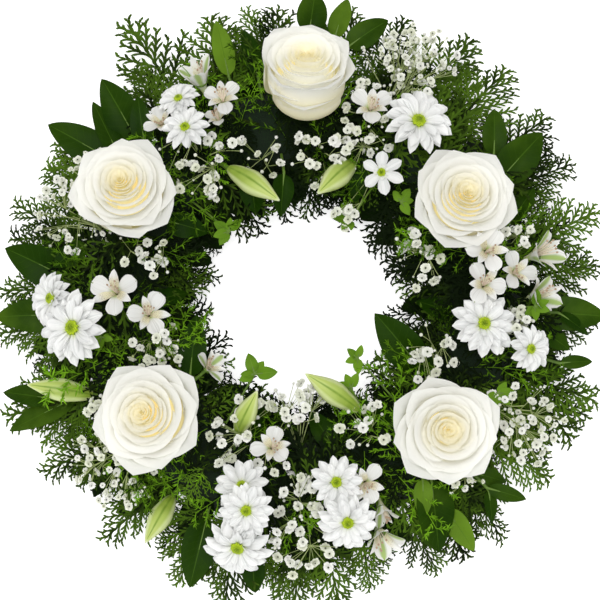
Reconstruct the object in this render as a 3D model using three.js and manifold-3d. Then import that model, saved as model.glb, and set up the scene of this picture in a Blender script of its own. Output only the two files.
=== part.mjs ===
import * as THREE from "three";
import { mergeVertices } from "three/addons/utils/BufferGeometryUtils.js";
import Module from "manifold-3d";

const wasm = await Module();
wasm.setup();

// A round open funeral wreath lying on its tray, in millimetres, +Z up.
// The origin is the centre of the ring on the table. Places on the ring are given by clock angles:
// degrees turned clockwise from +Y, seen from above, with a radius from the centre of the ring.

// Clearance between neighbours: every vertex of the earlier piece is moved out by this much before
// it cuts the later one, which leaves about 0.3 mm along its edges.
const CLEARANCE = 0.5;

// Tray and foam
const TRAY_INNER_RADIUS = 116;
const TRAY_OUTER_RADIUS = 194;
const TRAY_HEIGHT = 22;
const TRAY_WALL = 2.2;
const TRAY_FLOOR = 2.4;
const FOAM_GAP = 0.6;
const FOAM_INNER_RADIUS = TRAY_INNER_RADIUS + TRAY_WALL + FOAM_GAP;
const FOAM_OUTER_RADIUS = TRAY_OUTER_RADIUS - TRAY_WALL - FOAM_GAP;
const FOAM_TOP = 56;
const FOAM_SHOULDER = 40;
const FOAM_BEVEL = 12;
const RING_SEGMENTS = 48;

// Stems
const STEM_SIDES = 6;
const STEM_FOOT_HEIGHT = 34;
const ROSE_STEM_RADIUS = 3;
const DAISY_STEM_RADIUS = 1.6;
const ALSTROEMERIA_STEM_RADIUS = 1.5;
const BUD_STEM_RADIUS = 1.6;
const BUD_STEM_REACH = 25;

// Heads as rows of [radius, height, notch, lobes, twist], all as parts of the head's half width (a
// bud's rows are parts of its length). The notch draws the row in between its lobes, which parts the
// petals; without a number of lobes, every second point is drawn in. The twist is in degrees.
const ROSE_ROWS = [
  [0.09, -1.02],
  [0.32, -0.97],
  [0.62, -0.78],
  [0.8, -0.44],
  [0.86, -0.18, 0.04, 7],
  [1.0, 0.0, 0.12, 7],
  [0.86, -0.05, 0.06, 7],
  [0.82, 0.14, 0.08, 5, 30],
  [0.66, 0.08, 0.06, 5, 30],
  [0.62, 0.25, 0.08, 5, 62],
  [0.47, 0.19, 0.06, 5, 62],
  [0.43, 0.32, 0.1, 4, 10],
  [0.29, 0.26, 0.08, 4, 10],
  [0.25, 0.35, 0.12, 3, 50],
  [0.08, 0.27],
];
const ROSE_SIDES = 28;
const DAISY_ROWS = [
  [0.12, -0.36],
  [0.34, -0.28],
  [1.0, 0.02, 0.24],
  [0.34, 0.1],
  [0.28, 0.24],
];
const DAISY_SIDES = 20;
const ALSTROEMERIA_ROWS = [
  [0.12, -1.15],
  [0.22, -0.95],
  [0.26, -0.6],
  [0.62, -0.2],
  [1.0, 0.02, 0.34],
  [0.5, -0.06, 0.1],
  [0.14, -0.4],
];
const ALSTROEMERIA_SIDES = 12;
const BUD_ROWS = [
  [0.035, 0.0],
  [0.11, 0.08],
  [0.17, 0.3, 0.1],
  [0.18, 0.52, 0.12],
  [0.13, 0.78, 0.14],
  [0.03, 1.0],
];
const BUD_SIDES = 6;

// Blooms as [clock, radius, height, lean, width, facing, cup]: where the middle of the bloom sits, how
// many degrees it leans, how wide it opens, which clock angle it leans towards, and how much deeper
// than usual its cup is. A bloom without the last two leans straight out and has the usual cup.
const ROSES = [
  [1, 194, 107, 27, 84, 1, 1.28],
  [300, 171, 104, 7, 90, 357, 1],
  [60, 156, 104, 7, 90, 28, 1],
  [230, 164, 104, 6, 92, 270, 1],
  [135, 166, 104, 7, 90, 180, 1],
];
const DAISIES = [
  [34, 176, 92, 16, 56],
  [100, 153, 88, 8, 51],
  [261, 192, 88, 24, 50],
  [269, 210, 78, 38, 44],
  [194, 186, 98, 12, 42],
  [197, 168, 86, -5, 42],
  [194, 215, 82, 40, 52],
  [325, 173, 90, 8, 38],
  [328, 199, 84, 28, 34],
  [170, 160, 92, 4, 42],
  [169, 193, 90, 24, 46],
  [104, 195, 84, 28, 38],
  [33, 124, 84, -12, 38],
];
const ALSTROEMERIAS = [
  [270, 157, 94, 8, 40],
  [262, 128, 90, -8, 38],
  [338, 183, 92, 16, 34],
  [335, 216, 84, 42, 34],
  [20, 172, 92, 12, 36],
  [77, 157, 104, 5, 36],
  [88, 152, 98, 4, 36],
  [80, 212, 84, 42, 34],
  [90, 207, 78, 38, 34],
  [191, 130, 86, -8, 34],
  [162, 167, 90, 10, 34],
  [162, 219, 72, 48, 32],
];

// Buds as [clock, radius, height, facing, lean, length]: where the base sits, which clock angle the
// tip points to, how far the bud lies down from upright, and its length.
const BUDS = [
  [332, 126, 72, 130, 75, 54],
  [21, 120, 72, 226, 60, 50],
  [246, 197, 66, 274, 82, 50],
  [212, 204, 62, 211, 60, 45],
  [204, 126, 70, 24, 52, 45],
  [157, 103, 74, 306, 74, 48],
];

// Large leaves as [foot clock, foot radius, tip clock, tip radius, tip height, width].
const LEAVES = [
  [308, 176, 305, 272, 50, 32],
  [312, 176, 318, 261, 62, 34],
  [4, 178, 2, 265, 50, 32],
  [61, 176, 55, 256, 58, 35],
  [272, 176, 280, 260, 52, 34],
  [266, 178, 267, 264, 44, 30],
  [247, 178, 246, 274, 36, 24],
  [93, 178, 93, 263, 46, 30],
  [124, 140, 104, 63, 74, 34],
  [146, 172, 152, 242, 52, 34],
  [205, 174, 201, 260, 48, 31],
];
const LEAF_FOOT_HEIGHT = 38;
const LEAF_ARCH = 14;
const LEAF_THICKNESS = 1.2;
const LEAF_FOLD = 0.22;
const PETIOLE_HALF_WIDTH = 1.5;
const LEAF_ROWS = [0, 0.36, 0.46, 0.58, 0.7, 0.82, 0.92, 1];
const LEAF_BLADE_START = 0.36;

// Cedar fronds as [clock, tip radius, half width].
const FRONDS = [
  [329, 303, 38],
  [30, 288, 34],
  [84, 263, 30],
  [114, 267, 32],
  [180, 264, 32],
  [217, 265, 30],
  [273, 263, 30],
];
const FROND_FOOT_RADIUS = 176;
const FROND_FOOT_HEIGHT = 33;
const FROND_TIP_HEIGHT = 28;
const FROND_THICKNESS = 1.6;
const FROND_BRANCH_PAIRS = 4;
const FROND_BRANCH_ANGLE = 40;

// Baby's breath sprays as [clock, radius of the middle of the cloud].
const SPRAYS = [
  [289, 208],
  [226, 212],
  [121, 214],
  [26, 230],
];
const SPRAY_FOOT_RADIUS = 172;
const SPRAY_FORK_HEIGHT = 62;
const SPRAY_TOP_HEIGHT = 84;
const SPRAY_BLOSSOMS = 7;
const SPRAY_SPREAD = 27;
const SPRAY_STEM_RADIUS = 1.1;
const SPRAY_TWIG_RADIUS = 0.6;
const BLOSSOM_RADIUS = 4.6;

const GOLDEN_ANGLE = Math.PI * (3 - Math.sqrt(5));
const UP = new THREE.Vector3(0, 0, 1);

const MATERIALS = {
  tray: { color: 0x24382b, roughness: 0.45, metalness: 0 },
  foam: { color: 0x2f5a3c, roughness: 0.95, metalness: 0 },
  rose: { color: 0xf3eedd, roughness: 0.6, metalness: 0 },
  daisy: { color: 0xf4f5ee, roughness: 0.6, metalness: 0 },
  alstroemeria: { color: 0xefeee4, roughness: 0.55, metalness: 0 },
  bud: { color: 0xd3dcae, roughness: 0.5, metalness: 0 },
  leaf: { color: 0x2c4a26, roughness: 0.35, metalness: 0 },
  cedar: { color: 0x35552c, roughness: 0.6, metalness: 0 },
  spray: { color: 0xf1f2ea, roughness: 0.7, metalness: 0 },
};

// The point at a clock angle (degrees), radius and height.
function at(clock, radius, height) {
  const turn = THREE.MathUtils.degToRad(clock);
  return new THREE.Vector3(radius * Math.sin(turn), radius * Math.cos(turn), height);
}

// A closed skin over a row of rings that hold the same number of points, with a fan over each end.
// Each ring runs counterclockwise as seen from the last ring.
function skin(rings) {
  const count = rings[0].length;
  const points = rings.flat();
  const faces = [];
  for (let row = 0; row + 1 < rings.length; row += 1) {
    for (let k = 0; k < count; k += 1) {
      const a = row * count + k;
      const b = row * count + ((k + 1) % count);
      faces.push(a, b, b + count, a, b + count, a + count);
    }
  }
  for (const last of [false, true]) {
    const row = last ? rings.length - 1 : 0;
    const middle = points.length;
    const sum = rings[row].reduce((total, point) => total.add(point), new THREE.Vector3());
    points.push(sum.divideScalar(count));
    for (let k = 0; k < count; k += 1) {
      const a = row * count + k;
      const b = row * count + ((k + 1) % count);
      faces.push(middle, last ? a : b, last ? b : a);
    }
  }
  const geometry = new THREE.BufferGeometry().setFromPoints(points);
  geometry.setIndex(faces);
  return geometry;
}

// A turned body about Z from rows of [radius, height, notch, lobes, twist].
function turned(rows, sides, size) {
  return skin(
    rows.map(([radius, height, notch = 0, lobes = sides / 2, twist = 0]) =>
      Array.from({ length: sides }, (_, k) => {
        const turn = (2 * Math.PI * k) / sides;
        const wave = Math.cos(lobes * (turn - THREE.MathUtils.degToRad(twist)));
        const reach = size * radius * (1 - (notch * (1 - wave)) / 2);
        return new THREE.Vector3(reach * Math.cos(turn), reach * Math.sin(turn), size * height);
      }),
    ),
  );
}

// Axes across a direction: one level, and one pointing up as far as it can.
function across(direction) {
  const level = new THREE.Vector3().crossVectors(UP, direction);
  if (level.lengthSq() < 1e-6) {
    level.set(1, 0, 0);
  }
  level.normalize();
  return { level, raised: new THREE.Vector3().crossVectors(direction, level).normalize() };
}

// A round rod along a curve, tapering from one radius to another.
function rod(curve, startRadius, endRadius, sides, pieces) {
  const rings = [];
  for (let row = 0; row <= pieces; row += 1) {
    const share = row / pieces;
    const radius = startRadius + (endRadius - startRadius) * share;
    const { level, raised } = across(curve.getTangent(share));
    rings.push(
      Array.from({ length: sides }, (_, k) => {
        const turn = (2 * Math.PI * k) / sides;
        return curve
          .getPoint(share)
          .addScaledVector(level, radius * Math.cos(turn))
          .addScaledVector(raised, radius * Math.sin(turn));
      }),
    );
  }
  return skin(rings);
}

function straightRod(start, end, startRadius, endRadius, sides) {
  return rod(new THREE.LineCurve3(start, end), startRadius, endRadius, sides, 1);
}

function solid(geometry) {
  return new wasm.Manifold(
    new wasm.Mesh({
      numProp: 3,
      vertProperties: new Float32Array(geometry.attributes.position.array),
      triVerts: new Uint32Array(geometry.index.array),
    }),
  );
}

function geometryOf(body) {
  const { vertProperties, triVerts } = body.getMesh();
  const geometry = new THREE.BufferGeometry();
  geometry.setAttribute("position", new THREE.BufferAttribute(vertProperties, 3));
  geometry.setIndex(new THREE.BufferAttribute(triVerts, 1));
  return geometry;
}

function joined(geometries) {
  return geometryOf(geometries.map(solid).reduce((whole, piece) => whole.add(piece)));
}

// Only positions, with shared vertices merged, as the solids need them.
function bare(geometry) {
  geometry.deleteAttribute("normal");
  geometry.deleteAttribute("uv");
  return mergeVertices(geometry);
}

// The largest connected piece of a geometry, which drops the scraps a cut leaves behind.
function largestPiece(geometry) {
  const faces = geometry.index.array;
  const owner = Array.from({ length: geometry.attributes.position.count }, (_, k) => k);
  const root = (k) => {
    let top = k;
    while (owner[top] !== top) {
      top = owner[top];
    }
    return top;
  };
  for (let k = 0; k < faces.length; k += 3) {
    owner[root(faces[k + 1])] = root(faces[k]);
    owner[root(faces[k + 2])] = root(faces[k]);
  }
  const pieces = new Map();
  for (let k = 0; k < faces.length; k += 3) {
    const key = root(faces[k]);
    pieces.set(key, [...(pieces.get(key) ?? []), faces[k], faces[k + 1], faces[k + 2]]);
  }
  const largest = [...pieces.values()].sort((one, other) => other.length - one.length)[0];
  geometry.setIndex(largest);
  return bare(geometry.toNonIndexed());
}

// The same body with every vertex moved outwards by the clearance.
function grown(geometry) {
  const wide = geometry.clone();
  wide.computeVertexNormals();
  const { position, normal } = wide.attributes;
  for (let k = 0; k < position.count; k += 1) {
    position.setXYZ(
      k,
      position.getX(k) + CLEARANCE * normal.getX(k),
      position.getY(k) + CLEARANCE * normal.getY(k),
      position.getZ(k) + CLEARANCE * normal.getZ(k),
    );
  }
  return wide;
}

function inWorld(mesh) {
  mesh.updateMatrix();
  return mesh.geometry.clone().applyMatrix4(mesh.matrix);
}

function meshOf(name, geometry, look) {
  const mesh = new THREE.Mesh(geometry, new THREE.MeshStandardMaterial(MATERIALS[look]));
  mesh.name = name;
  return mesh;
}

// Stands a piece made about +Z at a place on the ring, leaning towards a clock angle.
function stand(mesh, place, facing, lean) {
  mesh.position.copy(place);
  mesh.rotation.set(-THREE.MathUtils.degToRad(lean), 0, -THREE.MathUtils.degToRad(facing), "ZYX");
  return mesh;
}

// The moulded ring tray: a flat ring floor with an upright rim on either side.
function ringTray() {
  const inner = TRAY_INNER_RADIUS;
  const outer = TRAY_OUTER_RADIUS;
  const profile = [
    [inner, 0],
    [outer, 0],
    [outer, TRAY_HEIGHT],
    [outer - TRAY_WALL, TRAY_HEIGHT],
    [outer - TRAY_WALL, TRAY_FLOOR],
    [inner + TRAY_WALL, TRAY_FLOOR],
    [inner + TRAY_WALL, TRAY_HEIGHT],
    [inner, TRAY_HEIGHT],
    [inner, 0],
  ].map(([x, y]) => new THREE.Vector2(x, y));
  const geometry = new THREE.LatheGeometry(profile, RING_SEGMENTS).rotateX(Math.PI / 2);
  return meshOf("ring_tray", bare(geometry), "tray");
}

// The foam ring in the tray, with bevelled shoulders. The stems cut their own sockets in it.
function foamRing() {
  const floor = TRAY_FLOOR + FOAM_GAP;
  const profile = [
    [FOAM_INNER_RADIUS, floor],
    [FOAM_OUTER_RADIUS, floor],
    [FOAM_OUTER_RADIUS, FOAM_SHOULDER],
    [FOAM_OUTER_RADIUS - FOAM_BEVEL, FOAM_TOP],
    [FOAM_INNER_RADIUS + FOAM_BEVEL, FOAM_TOP],
    [FOAM_INNER_RADIUS, FOAM_SHOULDER],
    [FOAM_INNER_RADIUS, floor],
  ].map(([x, y]) => new THREE.Vector2(x, y));
  const geometry = new THREE.LatheGeometry(profile, RING_SEGMENTS).rotateX(Math.PI / 2);
  return meshOf("foam_ring", bare(geometry), "foam");
}

// A bloom on a straight stem that runs along the bloom's axis down into the foam.
function bloom(name, place, outline, sides, stemRadius, look) {
  const [clock, radius, height, lean, width, facing = clock, cup = 1] = place;
  const rows = outline.map(([reach, rise, ...petals]) => [reach, rise < 0 ? rise * cup : rise, ...petals]);
  const size = width / 2;
  const stemLength = (height - STEM_FOOT_HEIGHT) / Math.cos(THREE.MathUtils.degToRad(lean));
  const foot = new THREE.Vector3(0, 0, -stemLength);
  const neck = new THREE.Vector3(0, 0, size * (rows[1][1] + 0.02));
  const stem = straightRod(foot, neck, stemRadius, stemRadius, STEM_SIDES);
  const mesh = meshOf(name, joined([turned(rows, sides, size), stem]), look);
  return stand(mesh, at(clock, radius, height), facing, lean);
}

// A closed lily bud, lying over on a stem that bends up out of the foam.
function lilyBud(name, [clock, radius, height, facing, lean, length]) {
  const body = turned(BUD_ROWS, BUD_SIDES, length);
  const mesh = stand(meshOf(name, body, "bud"), at(clock, radius, height), facing, lean);
  mesh.updateMatrix();
  const toLocal = mesh.matrix.clone().invert();
  const neck = new THREE.Vector3(0, 0, 0.05 * length);
  const bend = new THREE.Vector3(0, 0, -0.3 * length);
  const foot = at(clock, radius, STEM_FOOT_HEIGHT)
    .sub(at(facing, BUD_STEM_REACH, 0))
    .applyMatrix4(toLocal);
  const curve = new THREE.QuadraticBezierCurve3(foot, bend, neck);
  mesh.geometry = joined([body, rod(curve, BUD_STEM_RADIUS, BUD_STEM_RADIUS, STEM_SIDES, 5)]);
  return mesh;
}

// A pointed leaf: a thin stalk out of the foam that widens into a blade folded along its midrib.
function leaf(name, [footClock, footRadius, tipClock, tipRadius, tipHeight, width]) {
  const foot = at(footClock, footRadius, LEAF_FOOT_HEIGHT);
  const tip = at(tipClock, tipRadius, tipHeight).sub(foot);
  const bend = tip.clone().multiplyScalar(0.5).addScaledVector(UP, LEAF_ARCH);
  const curve = new THREE.QuadraticBezierCurve3(new THREE.Vector3(), bend, tip);
  const half = LEAF_THICKNESS / 2;
  const rings = LEAF_ROWS.map((share) => {
    const along = Math.max(0, (share - LEAF_BLADE_START) / (1 - LEAF_BLADE_START));
    const reach = PETIOLE_HALF_WIDTH + (width / 2 - PETIOLE_HALF_WIDTH) * Math.sin(Math.PI * along ** 0.8);
    const lift = LEAF_FOLD * (reach - PETIOLE_HALF_WIDTH);
    const { level, raised } = across(curve.getTangent(share));
    return [
      [reach, lift - half],
      [reach, lift + half],
      [0, half],
      [-reach, lift + half],
      [-reach, lift - half],
      [0, -half],
    ].map(([side, rise]) =>
      curve.getPoint(share).addScaledVector(level, side).addScaledVector(raised, rise),
    );
  });
  const mesh = meshOf(name, skin(rings), "leaf");
  mesh.position.copy(foot);
  return mesh;
}

// A flat tapering strip, widest part way along, lying in the XY plane.
function strip(start, end, halfWidth) {
  const direction = end.clone().sub(start).normalize();
  const { level, raised } = across(direction);
  const half = FROND_THICKNESS / 2;
  const rows = [
    [0, 0.45],
    [0.45, 1],
    [1, 0.3],
  ];
  return skin(
    rows.map(([share, breadth]) =>
      [
        [1, -1],
        [1, 1],
        [-1, 1],
        [-1, -1],
      ].map(([side, rise]) =>
        start
          .clone()
          .lerp(end, share)
          .addScaledVector(level, side * breadth * halfWidth)
          .addScaledVector(raised, rise * half),
      ),
    ),
  );
}

// A flat cedar frond: a midrib with pairs of branches that shorten towards the tip.
function frond(name, [clock, tipRadius, halfWidth]) {
  const foot = at(clock, FROND_FOOT_RADIUS, FROND_FOOT_HEIGHT);
  const tip = at(clock, tipRadius, FROND_TIP_HEIGHT);
  const length = foot.distanceTo(tip);
  const strips = [strip(new THREE.Vector3(), new THREE.Vector3(0, length, 0), 3.2)];
  for (let pair = 0; pair < FROND_BRANCH_PAIRS; pair += 1) {
    const share = pair / FROND_BRANCH_PAIRS;
    const start = new THREE.Vector3(0, length * (0.3 + 0.52 * share), 0);
    const reach = (halfWidth / Math.sin(THREE.MathUtils.degToRad(FROND_BRANCH_ANGLE))) * (1 - 0.6 * share);
    for (const side of [-1, 1]) {
      const turn = THREE.MathUtils.degToRad(side * (FROND_BRANCH_ANGLE - 12 * share));
      const end = start.clone().add(new THREE.Vector3(Math.sin(turn), Math.cos(turn), 0).multiplyScalar(reach));
      strips.push(strip(start, end, 4.2));
    }
  }
  const lean = THREE.MathUtils.radToDeg(Math.asin((FROND_TIP_HEIGHT - FROND_FOOT_HEIGHT) / length));
  const mesh = meshOf(name, joined(strips), "cedar");
  return stand(mesh, foot, clock, -lean);
}

// Baby's breath: one stem that forks into thin twigs, each with a round double blossom.
function spray(name, [clock, radius]) {
  const foot = at(clock, SPRAY_FOOT_RADIUS, STEM_FOOT_HEIGHT);
  const fork = at(clock, (SPRAY_FOOT_RADIUS + radius) / 2, SPRAY_FORK_HEIGHT).sub(foot);
  const middle = at(clock, radius, SPRAY_TOP_HEIGHT).sub(foot);
  const start = new THREE.Vector3();
  const pieces = [straightRod(start, fork, SPRAY_STEM_RADIUS, SPRAY_STEM_RADIUS, STEM_SIDES)];
  for (let k = 0; k < SPRAY_BLOSSOMS; k += 1) {
    const share = Math.sqrt((k + 0.5) / SPRAY_BLOSSOMS);
    const turn = k * GOLDEN_ANGLE;
    const centre = middle
      .clone()
      .add(new THREE.Vector3(Math.cos(turn), Math.sin(turn), 0).multiplyScalar(SPRAY_SPREAD * share))
      .addScaledVector(UP, -10 * share * share);
    const twigStart = fork.clone().lerp(start, 0.05);
    pieces.push(straightRod(twigStart, centre, SPRAY_TWIG_RADIUS, SPRAY_TWIG_RADIUS, 4));
    const blossom = bare(new THREE.IcosahedronGeometry(BLOSSOM_RADIUS, 0));
    pieces.push(blossom.translate(centre.x, centre.y, centre.z));
  }
  const mesh = meshOf(name, joined(pieces), "spray");
  mesh.position.copy(foot);
  return mesh;
}

const plants = [
  ...ROSES.map((row, k) => bloom(`rose_${k + 1}`, row, ROSE_ROWS, ROSE_SIDES, ROSE_STEM_RADIUS, "rose")),
  ...DAISIES.map((row, k) =>
    bloom(`daisy_${k + 1}`, row, DAISY_ROWS, DAISY_SIDES, DAISY_STEM_RADIUS, "daisy"),
  ),
  ...ALSTROEMERIAS.map((row, k) =>
    bloom(
      `alstroemeria_${k + 1}`,
      row,
      ALSTROEMERIA_ROWS,
      ALSTROEMERIA_SIDES,
      ALSTROEMERIA_STEM_RADIUS,
      "alstroemeria",
    ),
  ),
  ...BUDS.map((row, k) => lilyBud(`lily_bud_${k + 1}`, row)),
  ...LEAVES.map((row, k) => leaf(`leaf_${k + 1}`, row)),
  ...FRONDS.map((row, k) => frond(`cedar_${k + 1}`, row)),
  ...SPRAYS.map((row, k) => spray(`gypsophila_${k + 1}`, row)),
];

// Each plant is fitted round the plants pushed in before it, so that no two share any space.
const fitted = [];
for (const plant of plants) {
  const own = inWorld(plant);
  own.computeBoundingBox();
  let body = solid(own);
  let cut = false;
  for (const earlier of fitted) {
    if (earlier.box.intersectsBox(own.boundingBox)) {
      body = body.subtract(earlier.body);
      cut = true;
    }
  }
  if (cut) {
    const back = plant.matrix.clone().invert();
    plant.geometry = largestPiece(geometryOf(body)).applyMatrix4(back);
  }
  const wide = grown(inWorld(plant));
  wide.computeBoundingBox();
  fitted.push({ box: wide.boundingBox, body: solid(wide) });
}

// The foam is cut where the stems, stalks and midribs stand in it.
const foam = foamRing();
const socketed = fitted.reduce((body, plant) => body.subtract(plant.body), solid(foam.geometry));
foam.geometry = largestPiece(geometryOf(socketed));

const group = new THREE.Group();
group.add(ringTray(), foam, ...plants);

export default group;
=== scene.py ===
import math

import bpy
import numpy as np
from mathutils import Matrix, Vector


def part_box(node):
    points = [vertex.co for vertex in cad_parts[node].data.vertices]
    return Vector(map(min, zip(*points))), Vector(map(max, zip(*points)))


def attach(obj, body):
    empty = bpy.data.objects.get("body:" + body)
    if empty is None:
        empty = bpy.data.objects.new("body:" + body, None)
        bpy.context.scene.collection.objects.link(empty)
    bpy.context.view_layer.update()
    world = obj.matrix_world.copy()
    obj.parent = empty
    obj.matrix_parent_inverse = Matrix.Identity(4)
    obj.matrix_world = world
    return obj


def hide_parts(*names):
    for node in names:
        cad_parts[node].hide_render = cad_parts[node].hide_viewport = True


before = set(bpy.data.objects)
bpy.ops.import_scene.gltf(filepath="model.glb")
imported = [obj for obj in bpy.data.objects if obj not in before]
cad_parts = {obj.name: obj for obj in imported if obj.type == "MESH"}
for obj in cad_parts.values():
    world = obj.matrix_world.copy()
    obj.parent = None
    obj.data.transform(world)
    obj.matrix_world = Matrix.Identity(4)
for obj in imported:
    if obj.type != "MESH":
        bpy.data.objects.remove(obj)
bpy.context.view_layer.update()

# A round open funeral wreath of white flowers and mixed greens, in metres, +Z up, in the CAD frame.
# The CAD stems and stalks say where every bloom, bud, leaf and frond is; the smaller greens are
# spread round the foam ring by clock angle (degrees clockwise from +Y) and radius. Tables are in
# millimetres and degrees.

MM = 0.001
UP = np.array([0.0, 0.0, 1.0])
GOLDEN = math.radians(137.508)
FOAM_OUTER, _, FOAM_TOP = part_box("foam_ring")[1]
FOAM_HALF_WIDTH = 0.0355
RING = FOAM_OUTER - FOAM_HALF_WIDTH  # the radius of the middle of the foam
SUNK = 0.004  # how deep in the foam the thin stems of the smaller greens start
CLOUD_FEET = (0.13, 0.182)  # the radii between which the twigs of baby's breath start


# ---- geometry helpers


def unit(v):
    return v / np.maximum(np.linalg.norm(v, axis=-1, keepdims=True), 1e-12)


def smooth(low, high, x):
    t = np.clip((np.asarray(x, float) - low) / (high - low), 0, 1)
    return t * t * (3 - 2 * t)


def mix(a, b, t):
    return a + (b - a) * t


def turns(count):
    """Angles spaced evenly once round."""
    return np.linspace(0, 2 * math.pi, count, endpoint=False)


def shares(rows, columns):
    """Shares of a sheet: 0 to 1 down its rows and -1 to 1 across its columns."""
    return np.linspace(0, 1, rows)[:, None], np.linspace(-1, 1, columns)[None, :]


def lathe(profile, sides=6):
    """Rings of points round +Z, one for each radius and height of a profile."""
    return np.array([[[r * math.cos(a), r * math.sin(a), h] for a in turns(sides)] for r, h in profile])


def stood(points, head):
    """Points in a bloom's own size and directions, put where the bloom is."""
    return points @ head["basis"] * head["radius"] + head["middle"]


def at(clock, radius, height):
    turn = math.radians(clock)
    return np.array([radius * math.sin(turn), radius * math.cos(turn), height])


def at_mm(clock, radius, height):
    """As at(), from a row of a table that is in millimetres."""
    return at(clock, radius * MM, height * MM)


def basis(axis, towards=(1.0, 0.13, 0.07)):
    """Rows are the local X, Y and Z directions; Z is the axis and X leans towards a direction."""
    axis, towards = unit(np.asarray(axis, float)), np.asarray(towards)
    x = unit(towards - np.dot(towards, axis) * axis)
    return np.array([x, np.cross(axis, x), axis])


def spun(angle):
    c, s = math.cos(angle), math.sin(angle)
    return np.array([[c, s, 0], [-s, c, 0], [0, 0, 1.0]])


class Piece:
    """Vertices, faces and per-vertex values gathered for one object."""

    def __init__(self):
        self.points = []
        self.faces = []
        self.values = {"along": [], "side": [], "tone": [], "layer": []}
        self.count = 0

    def add(self, points, faces, **values):
        points = np.asarray(points, float).reshape(-1, 3)
        self.points.append(points)
        self.faces.append(np.asarray(faces, int) + self.count)
        for key, kept in self.values.items():
            kept.append(np.broadcast_to(np.asarray(values.get(key, 0.0), float).ravel(), (len(points),)))
        self.count += len(points)

    def grid(self, points, wrap=False, **values):
        """A sheet of quads over points[row, column]; wrap joins the last column to the first."""
        rows, columns = points.shape[:2]
        index = np.arange(rows * columns).reshape(rows, columns)
        right = np.roll(index, -1, axis=1) if wrap else index[:, 1:]
        left = index if wrap else index[:, :-1]
        quads = np.stack([left[:-1], right[:-1], right[1:], left[1:]], axis=-1).reshape(-1, 4)
        values = {k: np.broadcast_to(v, (rows, columns)) for k, v in values.items()}
        self.add(points, quads, **values)

    def tube(self, line, radii, sides=5, **values):
        """A round stem along a line of points."""
        line = np.asarray(line, float)
        tangent = unit(np.gradient(line, axis=0))
        across = unit(np.cross(tangent, np.array([0.31, 0.17, 0.93])))
        other = np.cross(tangent, across)
        turn = turns(sides)
        radii = np.broadcast_to(np.asarray(radii, float), (len(line),))
        ring = np.cos(turn)[None, :, None] * across[:, None] + np.sin(turn)[None, :, None] * other[:, None]
        points = line[:, None] + ring * radii[:, None, None]
        along = np.linspace(0, 1, len(line))[:, None]
        self.grid(points, wrap=True, **{"along": along, **values})

    def build(self, name, material, slot, replaces=()):
        mesh = bpy.data.meshes.new(name)
        points = np.concatenate(self.points)
        mesh.vertices.add(len(points))
        mesh.vertices.foreach_set("co", points.ravel())
        sizes = np.concatenate([np.full(len(f), f.shape[1]) for f in self.faces])
        loops = np.concatenate([f.ravel() for f in self.faces])
        mesh.loops.add(len(loops))
        mesh.loops.foreach_set("vertex_index", loops)
        mesh.polygons.add(len(sizes))
        mesh.polygons.foreach_set("loop_start", np.concatenate([[0], np.cumsum(sizes)[:-1]]))
        mesh.update(calc_edges=True)
        mesh.polygons.foreach_set("use_smooth", np.ones(len(sizes), bool))
        for key, kept in self.values.items():
            layer = mesh.attributes.new(key, "FLOAT", "POINT")
            layer.data.foreach_set("value", np.concatenate(kept))
        mesh.validate()
        mesh.materials.append(material)
        piece = bpy.data.objects.new(name, mesh)
        bpy.context.scene.collection.objects.link(piece)
        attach(piece, "root")
        if replaces:
            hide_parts(*replaces)
        return piece


# ---- reading the CAD nodes


def nodes_named(prefix):
    return [n for n in sorted(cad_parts) if n.startswith(prefix)]


def vertices(node):
    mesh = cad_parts[node].data
    co = np.empty(len(mesh.vertices) * 3)
    mesh.vertices.foreach_get("co", co)
    return co.reshape(-1, 3)


def surfaces(node):
    """Centres and areas of a node's faces."""
    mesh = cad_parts[node].data
    count = len(mesh.polygons)
    centres, areas = np.empty(count * 3), np.empty(count)
    mesh.polygons.foreach_get("center", centres)
    mesh.polygons.foreach_get("area", areas)
    return centres.reshape(-1, 3), areas[:, None]


def bloom_frame(node):
    """Foot, middle, directions and half width of a bloom that stands on a straight stem."""
    co = vertices(node)
    centres, areas = surfaces(node)
    low = co[np.argmin(co[:, 2])]
    end = (np.linalg.norm(co - low, axis=1) < 0.008) & (co[:, 2] < low[2] + 0.0026)
    foot = co[end].mean(0)
    axis = unit((centres * areas).sum(0) / areas.sum() - foot)
    height = (co - foot) @ axis
    spread = co - foot - height[:, None] * axis
    rim = np.argmax(np.linalg.norm(spread, axis=1))
    return {
        "foot": foot,
        "middle": foot + axis * height[rim],
        "basis": basis(axis, spread[rim]),
        "radius": float(np.linalg.norm(spread[rim])),
    }


def bud_frame(node):
    """Foot of the stem, base, direction and length of a lily bud."""
    co = vertices(node)
    foot = co[np.argmin(co[:, 2])]
    tip = co[np.argmax(np.linalg.norm(co - foot, axis=1))]
    near = co[np.linalg.norm(co - tip, axis=1) < 0.028]
    axis = unit(tip - near.mean(0))
    spread = near - tip - ((near - tip) @ axis)[:, None] * axis
    length = float(np.linalg.norm(spread, axis=1).max()) / 0.18
    return {"foot": foot, "base": tip - axis * length, "axis": axis, "length": length}


def run_frame(node):
    """The middle line of a leaf or frond, from its foot in the foam to its tip, and its half width."""
    co = vertices(node)
    foot = co[np.argmin(abs(np.hypot(co[:, 0], co[:, 1]) - RING))]
    tip = co[np.argmax(np.linalg.norm(co - foot, axis=1))]
    share = (co - foot) @ (tip - foot) / np.dot(tip - foot, tip - foot)
    fit = np.polyfit(share, co, 2)

    def line(t):
        return np.stack([np.polyval(fit[:, k], t) for k in range(3)], axis=-1)

    level = unit(np.cross(UP, tip - foot))
    half = abs((co - line(share)) @ level).max()
    return line, float(half)


ROSES, DAISIES, ALSTROEMERIAS = (
    [bloom_frame(node) for node in nodes_named(prefix)] for prefix in ("rose_", "daisy_", "alstroemeria_")
)
HEADS = ROSES + DAISIES + ALSTROEMERIAS


# ---- materials


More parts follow.
